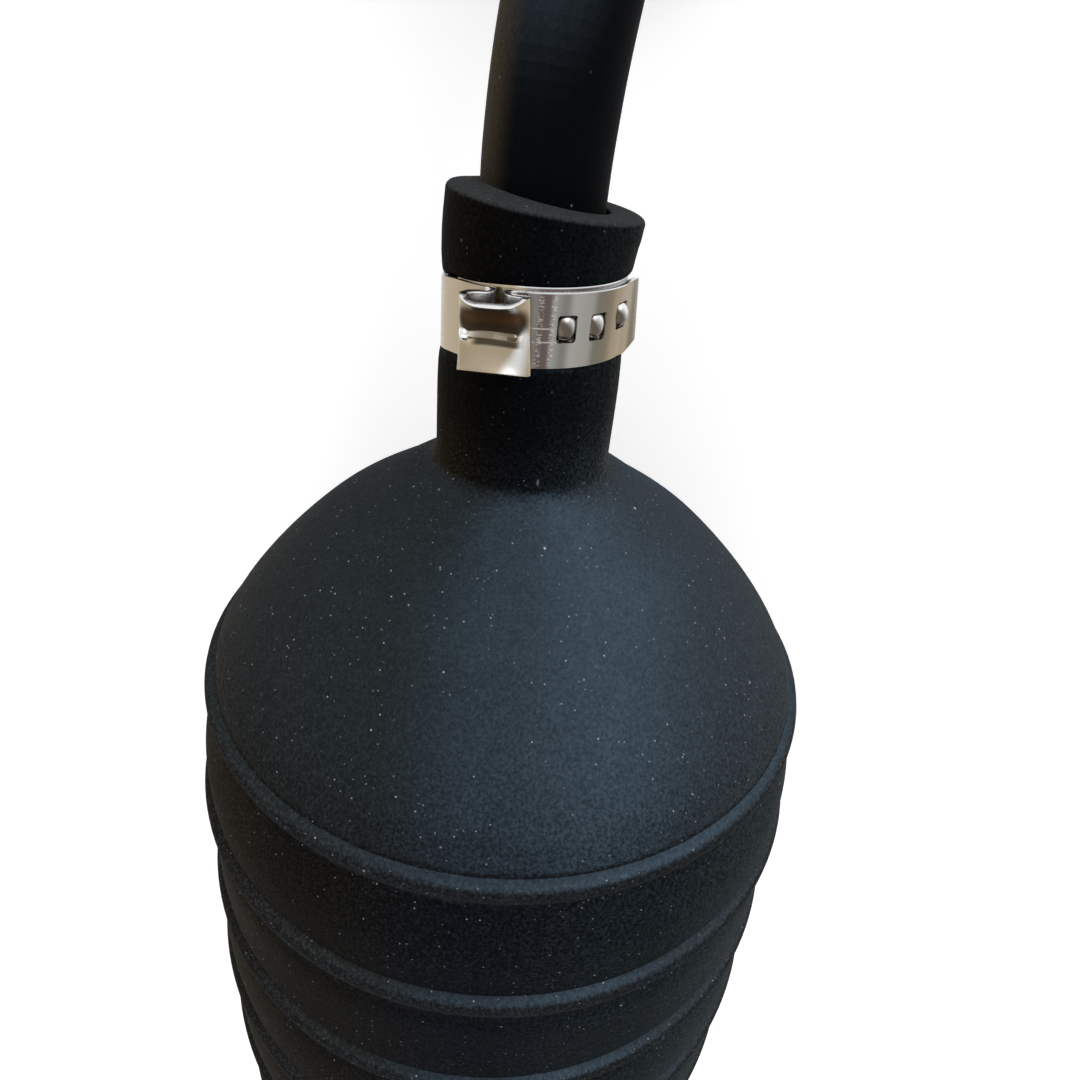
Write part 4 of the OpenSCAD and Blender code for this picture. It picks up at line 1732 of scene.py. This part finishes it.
    def build(self, steel: bpy.types.Material) -> bpy.types.Object:
        """Cuts the strap, winds it and shapes its ear and its hooks.

        Args:
            steel: Its finish.

        Returns:
            The clamp.
        """
        shape = self.ear.value
        winding = self.winding()
        ear_s = winding.place_of(self.ear_turn)
        ear_reach = winding.place_of(self.ear_turn + shape.foot_turn) - ear_s
        hooks = [
            (winding.place_of(360 + turn), w - self.wind) for turn, w in zip(self.windows, self.window_w)
        ]
        bm = self.flat(winding)
        form = bm.verts.layers.float_vector.new("strap_form")
        for v in bm.verts:
            s, w = v.co.xy
            e = ear_s - s
            turn, point = winding.at(s, abs(2 * w / self.width) ** shape.dish_power)
            v[form] = (turn, e if shape.dirt_and_light else PLAIN_EAR, w)
            relief = shape.relief(e, w) if abs(e) < shape.top_half else self.hook(s, w, hooks)
            lift = self.tail_lift * max(0.0, 1 - s / self.tail) * (0.5 - w / self.width)
            point += point.normalized() * (relief + lift)
            x = w + self.shift(turn)
            if abs(e) < ear_reach:
                x += self.bend_ear(e, w, point)
            x += self.lean_y * point.y + self.lean_z * (point.z - self.outer_r)
            v.co = (self.middle_x + x, point.y, self.middle_z + point.z)
        piece = finish_piece(bm, self.name, steel, [self.node])
        thicken(piece, self.thickness, self.edge_round)
        return piece


@dataclass
class SqueezeBulb:
    """The ribbed bulb with its two necks, turned as one hollow moulding.

    A pair of places or radii is where a change starts and where it is done.

    Attributes:
        dome_crowding: How much closer a dome's stretches are towards its neck.
        barrel_squash: How much narrower it is sideways.
        barrel_off: How far it lies off the necks' axis.
        shoulder_h: Height of the swell near the barrel's ends.
        shoulder_in: Where the swell rises from the middle.
        shoulder_out: Where it rises from the ends.
        shoulder_dip: How far the dome is pulled in round its neck.
        dip_r: Radii over which it is pulled in.
        bead: A bead's outline in half widths and heights, its steep face last.
        pillow_h: How far the rubber swells between two beads.
        inner_dip: How much lower the dome is inside.
        fillet_share: How much of the fillet lies along the neck and across it.
        waist: The neck's outline before the seat, from its start and the neck's radius.
        collar: The outline past the seat, from its end and the collar's radius.
        press_deep: How far inside the seat the pressing reaches.
        press_x: How far beside the seat it reaches, for its slant and for its step.
        press_turn: The turn over which the strap's tongue makes a step.
        lip_start: How far past the seat the slant starts.
        lip_shift: How far it is pushed towards -Y.
        lip_extra: How much longer it is.
        lip_cone: How far its inner edge stands out.
        lip_lean: How far its top leans out.
        boss_x: Where the chamber's ends are.
        spigot_bore: Bore of the seats of both valves.
    """

    axis_z: float
    lip_x: float
    dome_r: float = 36.0
    dome_h: float = 30.0
    dome_power: float = 1.28
    dome_steps: int = 28
    dome_crowding: float = 1.4
    barrel_swell: float = 4.8
    barrel_squash: float = 0.013
    squash_x: Range = (66.0, 36.0)
    barrel_off: float = 0.25
    off_x: Range = (85.0, 70.0)
    shoulder_h: float = 0.5
    shoulder_in: Range = (38.0, 46.0)
    shoulder_out: Range = (62.0, 54.0)
    shoulder_dip: float = 1.0
    dip_r: Range = (25.0, 16.0)
    bead_count: int = 9
    bead_pitch: float = 16.0
    bead_half: float = 1.7
    bead_h: float = 1.0
    bead: tuple[Pair, ...] = (
        (-1.0, 0.0), (-0.75, 0.22), (-0.5, 0.52), (-0.2, 0.82), (0.05, 0.97), (0.25, 1.0),
        (0.5, 0.93), (0.7, 0.74), (0.8, 0.5), (0.84, 0.2), (0.88, -0.12),
    )
    gap_steps: int = 12
    pillow_h: float = 0.6
    pillow_power: float = 0.6
    wall: float = 3.6
    inner_dip: float = 4.0
    inner_steps: int = 12
    barrel_steps: int = 6
    neck_r: float = 9.6
    neck_fillet: float = 4.0
    fillet_share: Pair = (0.85, 0.7)
    fillet_steps: int = 8
    seat_r: float = 8.3
    seat_from: float = 104.25
    seat_to: float = 111.35
    seat_steps: int = 6
    waist: tuple[Pair, ...] = (
        (-6.5, 0.0), (-4.5, -0.02), (-3.0, -0.07), (-1.6, -0.15), (-0.7, -0.25), (-0.2, -0.5),
    )
    collar_r: float = 9.45
    collar: tuple[Pair, ...] = (
        (0.05, -0.34), (0.25, -0.22), (0.7, -0.14), (1.5, -0.07), (2.8, -0.02), (3.8, 0.02),
    )
    press_deep: float = 1.0
    press_x: Pair = (3.0, 0.05)
    press_turn: float = 5.0
    lip_round: float = 0.5
    lip_mouth: float = 0.25
    lip_slant: float = 5.0
    lip_start: float = 1.5
    lip_shift: float = 0.35
    lip_extra: float = 0.6
    lip_cone: float = 0.38
    lip_lean: float = 0.03
    boss_x: float = 84.0
    inlet_bore: float = 6.1
    discharge_bore: float = 6.05
    spigot_bore: float = 5.85
    socket_x: float = 103.7
    spigot_x: float = 91.2
    turn_steps: int = 160

    @property
    def dome_x(self) -> float:
        """Where the domes begin."""
        return (self.bead_count - 1) / 2 * self.bead_pitch + self.bead_half

    def barrel_radius(self, x: float) -> float:
        """Radius of the smooth barrel.

        Args:
            x: The place along the bulb.

        Returns:
            The radius there.
        """
        arc = (self.dome_x ** 2 + self.barrel_swell ** 2) / (2 * self.barrel_swell)
        shoulder = ramp(abs(x), *self.shoulder_out) * ramp(abs(x), *self.shoulder_in)
        swell = self.barrel_swell - arc + math.sqrt(arc ** 2 - x ** 2)
        return self.dome_r + swell + self.shoulder_h * shoulder

    def dome_radius(self, s: float, r: float, h: float) -> float:
        """Radius of a dome.

        Args:
            s: The distance above its base.
            r: Its base radius.
            h: Its height.

        Returns:
            The radius there.
        """
        return r * (1 - (s / h) ** self.dome_power) ** (1 / self.dome_power)

    def bead_outline(self, number: int) -> Outline:
        """Outline of one bead, its steep face away from the bulb's middle.

        Args:
            number: Which bead, counted from the middle one.

        Returns:
            Its points from -X to +X.
        """
        side = 1 if number >= 0 else -1
        points = [(number * self.bead_pitch + side * u * self.bead_half, h) for u, h in self.bead]
        return [(x, self.barrel_radius(x) + h * self.bead_h) for x, h in points[::side]]

    def barrel_outline(self) -> Outline:
        """Outside of the barrel.

        Returns:
            Its points from the first bead to the last.
        """
        half = (self.bead_count - 1) // 2
        outline = self.bead_outline(-half)
        for number in range(1 - half, half + 1):
            bead = self.bead_outline(number)
            start, stop = outline[-1][0], bead[0][0]
            for k in range(1, self.gap_steps):
                x = mix(start, stop, k / self.gap_steps)
                rise = math.sin(math.pi * k / self.gap_steps) ** self.pillow_power
                outline.append((x, self.barrel_radius(x) + self.pillow_h * rise))
            outline += bead
        return outline

    def dome_outline(self) -> Outline:
        """Outside of a dome and the fillet to its neck.

        Returns:
            Its points from its base out.
        """
        along, across = (self.neck_fillet * share for share in self.fillet_share)
        top_r = self.neck_r + across
        top = self.dome_h * (1 - (top_r / self.dome_r) ** self.dome_power) ** (1 / self.dome_power)
        outline = []
        for k in range(1, self.dome_steps + 1):
            s = top * (1 - (1 - k / self.dome_steps) ** self.dome_crowding)
            r = self.dome_radius(s, self.dome_r, self.dome_h)
            outline.append((self.dome_x + s - self.shoulder_dip * ramp(r, *self.dip_r), r))
        start_x, start_r = outline[-1]
        for k in range(1, self.fillet_steps + 1):
            u = k / self.fillet_steps
            outline.append((start_x + along * u, self.neck_r + (start_r - self.neck_r) * (1 - u) ** 2))
        return outline

    def lip_outline(self, r: float, bore: float) -> Outline:
        """Outline of a neck's rounded lip.

        Args:
            r: The neck's outside radius.
            bore: Its bore's radius.

        Returns:
            Its points from the outside in to the bore.
        """
        outside = [
            (self.lip_x - self.lip_round * (1 - math.sin(a)), r - self.lip_round * (1 - math.cos(a)))
            for a in quarter_turn(6)
        ]
        mouth = [
            (self.lip_x - self.lip_mouth * (1 - math.cos(a)), bore + self.lip_mouth * (1 - math.sin(a)))
            for a in quarter_turn(4)
        ]
        return outside + mouth

    def discharge_neck(self) -> Outline:
        """Outside of the discharge neck.

        Returns:
            Its points: the waist that its clamp squeezes, the seat, and the collar.
        """
        seat = [mix(self.seat_from, self.seat_to, k / self.seat_steps) for k in range(self.seat_steps + 1)]
        return [
            *((self.seat_from + x, self.neck_r + r) for x, r in self.waist),
            *((x, self.seat_r) for x in seat),
            *((self.seat_to + x, self.collar_r + r) for x, r in self.collar),
        ]

    def inner_dome(self) -> Outline:
        """Inside of a dome.

        Returns:
            Its points from its boss back to its base.
        """
        r, h = self.dome_r - self.wall, self.dome_h - self.inner_dip
        reach = self.boss_x - self.dome_x
        above = [reach * (1 - k / self.inner_steps) for k in range(self.inner_steps + 1)]
        return [(self.dome_x + s, self.dome_radius(s, r, h)) for s in above]

    def neck_bore(self, bore: float, end_x: float) -> Outline:
        """Inside of a neck and its dome.

        Args:
            bore: Radius of its socket.
            end_x: Where the socket ends.

        Returns:
            Its points from the socket's end back to the dome's base.
        """
        return [(end_x, bore), (end_x, self.spigot_bore), (self.boss_x, self.spigot_bore), *self.inner_dome()]

    def outline(self) -> Outline:
        """The whole closed outline of the bulb's wall.

        Returns:
            Its points: the barrel, the discharge end, the chamber, and the inlet end.
        """
        discharge = [
            *self.dome_outline(), *self.discharge_neck(),
            *self.lip_outline(self.collar_r, self.discharge_bore),
            *self.neck_bore(self.discharge_bore, self.spigot_x),
        ]
        inlet = [
            *self.dome_outline(), *self.lip_outline(self.neck_r, self.inlet_bore),
            *self.neck_bore(self.inlet_bore, self.socket_x),
        ]
        steps = self.barrel_steps
        chamber = [self.dome_x * k / steps for k in range(steps - 1, -steps, -1)]
        inside = [(x, self.barrel_radius(x) - self.wall) for x in chamber]
        return [*self.barrel_outline(), *discharge, *inside, *((-x, r) for x, r in reversed(inlet))]

    def shear_lip(self, bm: bmesh.types.BMesh) -> None:
        """Slants the discharge lip, whose +Y side is the longer.

        Args:
            bm: The bulb.
        """
        slope = math.tan(math.radians(self.lip_slant))
        for v in bm.verts:
            share = ramp(v.co.x, self.seat_to + self.lip_start, self.lip_x)
            out = math.hypot(v.co.y, v.co.z - self.axis_z)
            inner = (self.collar_r - out) / (self.collar_r - self.discharge_bore)
            rise = self.lip_cone * inner * (1 + v.co.y / self.discharge_bore)
            lean = self.lip_lean * (v.co.z - self.axis_z)
            v.co.x += share * (slope * (v.co.y - self.collar_r) + self.lip_extra + rise + lean)
            v.co.y -= self.lip_shift * share

    def sag(self, bm: bmesh.types.BMesh) -> None:
        """Sets the barrel a little off its axis and squashes it sideways.

        Args:
            bm: The bulb.
        """
        for v in bm.verts:
            squash = self.barrel_squash * ramp(abs(v.co.x), *self.squash_x)
            v.co.y = v.co.y * (1 - squash) - self.barrel_off * ramp(abs(v.co.x), *self.off_x)

    def press_seat(self, bm: bmesh.types.BMesh, clamp: EarClamp) -> None:
        """Presses the discharge neck's seat to the strap that lies on it.

        Args:
            bm: The bulb.
            clamp: The clamp.
        """
        slant_x, step_x = self.press_x
        tongue = clamp.tongue_turn - 360
        for v in bm.verts:
            y, z = v.co.y, v.co.z - self.axis_z
            if math.hypot(y, z) < self.seat_r - self.press_deep:
                continue
            beyond = max(self.seat_from - v.co.x, v.co.x - self.seat_to, 0.0)
            share = 1 - smooth(beyond / slant_x)
            turn = math.degrees(math.atan2(y, z)) % 360
            step = ramp(turn, tongue, tongue + self.press_turn)
            swell = step * (clamp.radius(turn) - clamp.inner_r) * (1 - smooth(beyond / step_x))
            scale = 1 + share * swell / clamp.inner_r
            lean = clamp.lean_y * y + clamp.lean_z * (z - clamp.outer_r)
            v.co.x += share * (lean + mix(clamp.shift(turn + 360), clamp.shift(turn), step))
            v.co.y, v.co.z = y * scale, self.axis_z + z * scale

    def build(self, rubber: bpy.types.Material, clamp: EarClamp) -> bpy.types.Object:
        """Makes the bulb, its discharge neck squeezed by the clamp.

        Args:
            rubber: Its finish.
            clamp: The clamp.

        Returns:
            The bulb.
        """
        bm = lathe(self.outline(), self.axis_z, self.turn_steps)
        self.sag(bm)
        self.shear_lip(bm)
        self.press_seat(bm, clamp)
        return finish_piece(bm, "squeeze_bulb", rubber, ["bulb"], sharp_deg=42)


@dataclass
class DischargeHose:
    """The hose, from inside its neck over the lip and down to the tied hank.

    Attributes:
        neck_x: The middle line's places inside the neck.
        mid_half: Half the straight stretch under the tie.
        strand_y: How far the hank's strands lie beside its middle.
        curl_r: Radius at which the strands swing out to the loops.
        tie_lift: How much higher the strands are under the tie.
        lift_x: How far beside the tie they start to rise and have risen.
        tail_curl: Length of the free end past the tie.
        drop_start: How far along the second half turn the hank starts to come down.
        drop_len: How long it takes to come down.
        step: About how far apart the middle line's points are in the hank.
    """

    axis_z: float
    outer_r: float = 6.0
    bore_r: float = 4.0
    neck_x: tuple[float, ...] = (91.4, 98.0, 105.0, 112.0)
    exit_x: float = 117.7
    length: float = 1.04
    run: tuple[Point, ...] = (
        (122, -0.1, 41.65), (128, -0.5, 40.8), (134, -1.2, 39.2), (141, -2.2, 36.7),
        (151, -3.4, 32.8), (163, -4.5, 28.2), (176, -5.3, 23.8), (190, -5.9, 20.3),
        (204, -6.2, 18.2), (218, -6.3, 17.7), (232, -6.3, 18.6), (243, -6.3, 19.6),
        (250, -6.3, 19.9),
    )
    run_steps: int = 6
    hank_x: float = 258.0
    mid_half: float = 8.0
    strand_y: float = 6.3
    loop_r: float = 36.0
    curl_r: float = 48.0
    half_turns: int = 3
    low_z: float = 6.0
    high_z: float = 18.6
    tie_lift: float = 1.3
    lift_x: Range = (30.0, 6.0)
    tail_curl: float = 40.0
    drop_start: float = 66.0
    drop_len: float = 120.0
    step: float = 3.0
    sides: int = 32

    def half_turn(self) -> list[Pair]:
        """One half turn of the hank, from the middle of the tie to the middle of the tie.

        Returns:
            The length and the curvature of each of its stretches.
        """
        rise = self.curl_r + self.strand_y
        reach = self.loop_r + self.curl_r
        curl = math.pi / 2 - math.atan2(rise, math.sqrt(reach ** 2 - rise ** 2))
        straight = (self.mid_half, 0.0)
        swing = (self.curl_r * curl, -1 / self.curl_r)
        loop = (self.loop_r * (math.pi + 2 * curl), 1 / self.loop_r)
        return [straight, swing, loop, swing, straight]

    def hank_route(self) -> list[Vector]:
        """The hank's middle line, with its turns one above the other.

        Returns:
            Its points.
        """
        half_turn = self.half_turn()
        stretches = half_turn * self.half_turns + [half_turn[0], (self.tail_curl, -1 / self.curl_r)]
        drop_from = sum(length for length, _ in half_turn) + self.drop_start
        x, y, heading, gone = self.hank_x, -self.strand_y, 0.0, 0.0
        route = []
        for length, bend in stretches:
            parts = max(2, round(length / self.step))
            ds = length / parts
            for _ in range(parts):
                level = mix(self.high_z, self.low_z, smooth((gone - drop_from) / self.drop_len))
                lift = self.tie_lift * ramp(abs(x - self.hank_x), *self.lift_x)
                route.append(Vector((x, y, level + lift)))
                x += ds * math.cos(heading + bend * ds / 2)
                y += ds * math.sin(heading + bend * ds / 2)
                heading += bend * ds
                gone += ds
        route.append(Vector((x, y, self.low_z)))
        return route

    def route(self) -> list[Vector]:
        """The whole middle line.

        Returns:
            Its points, from inside the neck to the cut end.
        """
        neck = [Vector((x, 0, self.axis_z)) for x in (*self.neck_x, self.exit_x)]
        hank = self.hank_route()
        run = spline([*neck[-2:], *map(Vector, self.run), hank[0]], self.run_steps)
        return [*neck[:-2], *run, *hank[1:]]

    def build(self, rubber: bpy.types.Material, tie: bpy.types.Object) -> bpy.types.Object:
        """Args:
            rubber: Its finish.
            tie: The tie round its hank; not used.

        Returns:
            The hose.
        """
        route = self.route()
        bm = swept_hose(route, self.outer_r, self.bore_r, self.sides)
        nodes = [f"discharge_hose_{part}" for part in ("end", "run", "hank")]
        hose = finish_piece(bm, "discharge_hose", rubber, nodes)
        return hose


@dataclass
class HankTie:
    """A woven strap wrapped round the hank's middle, its end lying on itself.

    Attributes:
        inset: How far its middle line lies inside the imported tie's outside.
        overlap: How much of its end lies on itself.
        lap_h: How far the end is lifted, in thicknesses.
        lap_s: How far before the wrap closes the end starts to lift and has lifted.
    """

    inset: float = 0.6
    width: float = 12.0
    thickness: float = 1.1
    edge_round: float = 0.25
    corner_r: float = 6.6
    overlap: float = 17.0
    lap_h: float = 1.05
    lap_s: Range = (9.0, 1.0)
    cell: float = 0.5

    def outline_point(self, s: float, outset: float, half: Pair) -> Vector:
        """Finds a point of the wrap's outline.

        Args:
            s: How far round it, from the middle of its top.
            outset: How far outside it.
            half: Half the width and half the height between its corners.

        Returns:
            The point, from the wrap's middle.
        """
        r = self.corner_r
        half_w, half_h = half
        arc = math.pi / 2 * r
        sides = [half_w, arc, 2 * half_h, arc, 2 * half_w, arc, 2 * half_h, arc, half_w]
        s %= sum(sides)
        for k, length in enumerate(sides):
            if s <= length:
                break
            s -= length
        side, at_corner = divmod(k, 2)
        if at_corner:
            cy, cz = [(half_w, half_h), (half_w, -half_h), (-half_w, -half_h), (-half_w, half_h)][side]
            a = math.pi / 2 * (1 - side) - s / r
            return Vector((0, cy + (r + outset) * math.cos(a), cz + (r + outset) * math.sin(a)))
        y, z = [
            (0, half_h + r), (half_w + r, half_h), (half_w, -half_h - r), (-half_w - r, -half_h),
            (-half_w, half_h + r),
        ][side]
        dy, dz = [(1, 0), (0, -1), (-1, 0), (0, 1), (1, 0)][side]
        return Vector((0, y + dy * s - dz * outset, z + dz * s + dy * outset))

    def build(self, fabric: bpy.types.Material) -> bpy.types.Object:
        """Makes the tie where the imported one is.

        Args:
            fabric: Its finish.

        Returns:
            The tie.
        """
        low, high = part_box("hose_tie")
        middle_x = (low.x + high.x) / 2 / MM
        bottom, top = low.z / MM + self.inset, high.z / MM - self.inset
        half = (high.y / MM - self.inset - self.corner_r, (top - bottom) / 2 - self.corner_r)
        around = 4 * sum(half) + 2 * math.pi * self.corner_r
        bm = flat_strap(around + self.overlap, self.width, self.cell)
        lift_from, lift_to = (around - reach for reach in self.lap_s)
        for v in bm.verts:
            s, w = v.co.xy
            outset = self.thickness * self.lap_h * ramp(s, lift_from, lift_to)
            point = self.outline_point(s - self.overlap / 2, outset, half)
            v.co = (middle_x + w, point.y, (top + bottom) / 2 + point.z)
        piece = finish_piece(bm, "hank_tie", fabric, ["hose_tie"])
        thicken(piece, self.thickness, self.edge_round)
        return piece


@dataclass
class ValveSpring:
    """A valve's light coil spring. Its +X end is fixed, and the lifting ball pushes its other end.

    Attributes:
        coil_r: Middle of the wire to the axis.
        wire_r: Half the wire's thickness.
        travel: How far the ball lifts.
    """

    valve: str
    axis_z: float
    coil_r: float = 2.4
    wire_r: float = 0.25
    turns: int = 5
    turn_steps: int = 24
    sides: int = 8
    travel: float = 2.5

    def build(self, steel: bpy.types.Material) -> bpy.types.Object:
        """Winds the wire.

        Args:
            steel: Its finish.

        Returns:
            The spring.
        """
        node = f"{self.valve}_valve_spring"
        start, stop = (corner.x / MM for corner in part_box(node))
        rise = stop - start - 2 * self.wire_r
        steps = self.turns * self.turn_steps
        bm = bmesh.new()
        at = Matrix.Translation((start + self.wire_r, 0, self.axis_z + self.coil_r))
        ring = bmesh.ops.create_circle(
            bm, cap_ends=True, segments=self.sides, radius=self.wire_r,
            matrix=at @ Matrix.Rotation(math.pi / 2, 4, "X"),
        )
        faces = list({face for v in ring["verts"] for face in v.link_faces})
        bmesh.ops.spin(
            bm, geom=faces, cent=(0, 0, self.axis_z), axis=(1, 0, 0), dvec=(rise / steps, 0, 0),
            angle=2 * math.pi * self.turns, steps=steps,
        )
        bmesh.ops.recalc_face_normals(bm, faces=bm.faces)
        piece = finish_piece(bm, f"{self.valve}_return_spring", steel, [node])
        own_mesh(piece)
        return piece


def main() -> None:
    """Builds the pump's pieces in order and puts them in the studio."""
    logging.basicConfig(level=logging.INFO, format="%(message)s")
    bpy.context.scene.view_settings.view_transform = "Standard"
    View().build()
    Studio().build()
    low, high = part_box("bulb")
    axis_z = (low.z + high.z) / 2 / MM
    tie = HankTie().build(TieFabric().material())
    DischargeHose(axis_z).build(HoseRubber().material(), tie)
    clamp = EarClamp(
        "discharge_ear_clamp", "discharge_clamp", Ear.CRIMPED, middle_x=107.75, middle_z=axis_z,
        inner_r=8.6, ear_turn=17.2, lean_y=-0.04, lean_z=0.03,
    )
    SqueezeBulb(axis_z, high.x / MM).build(BulbRubber().material(), clamp)
    dress_valves()
    wire = SPRING_FINISH.material()
    for valve in ("outlet", "inlet"):
        ValveSpring(valve, axis_z).build(wire)
    steel = StrapSteel().material()
    clamp.build(steel)
    EarClamp(
        "inlet_ear_clamp", "inlet_clamp", Ear.OPEN, middle_x=-108.0, middle_z=axis_z - 0.38,
        inner_r=10.3, ear_turn=20.0, droop=0.0, windows=(-17.0, -37.0, -57.0), window_w=(0.0, 0.0, 0.0),
        straight_turn=-80.0, tail=1.0, tail_lift=0.0, tongue_turn=424.0,
    ).build(steel)


if __name__ == "__main__":
    main()
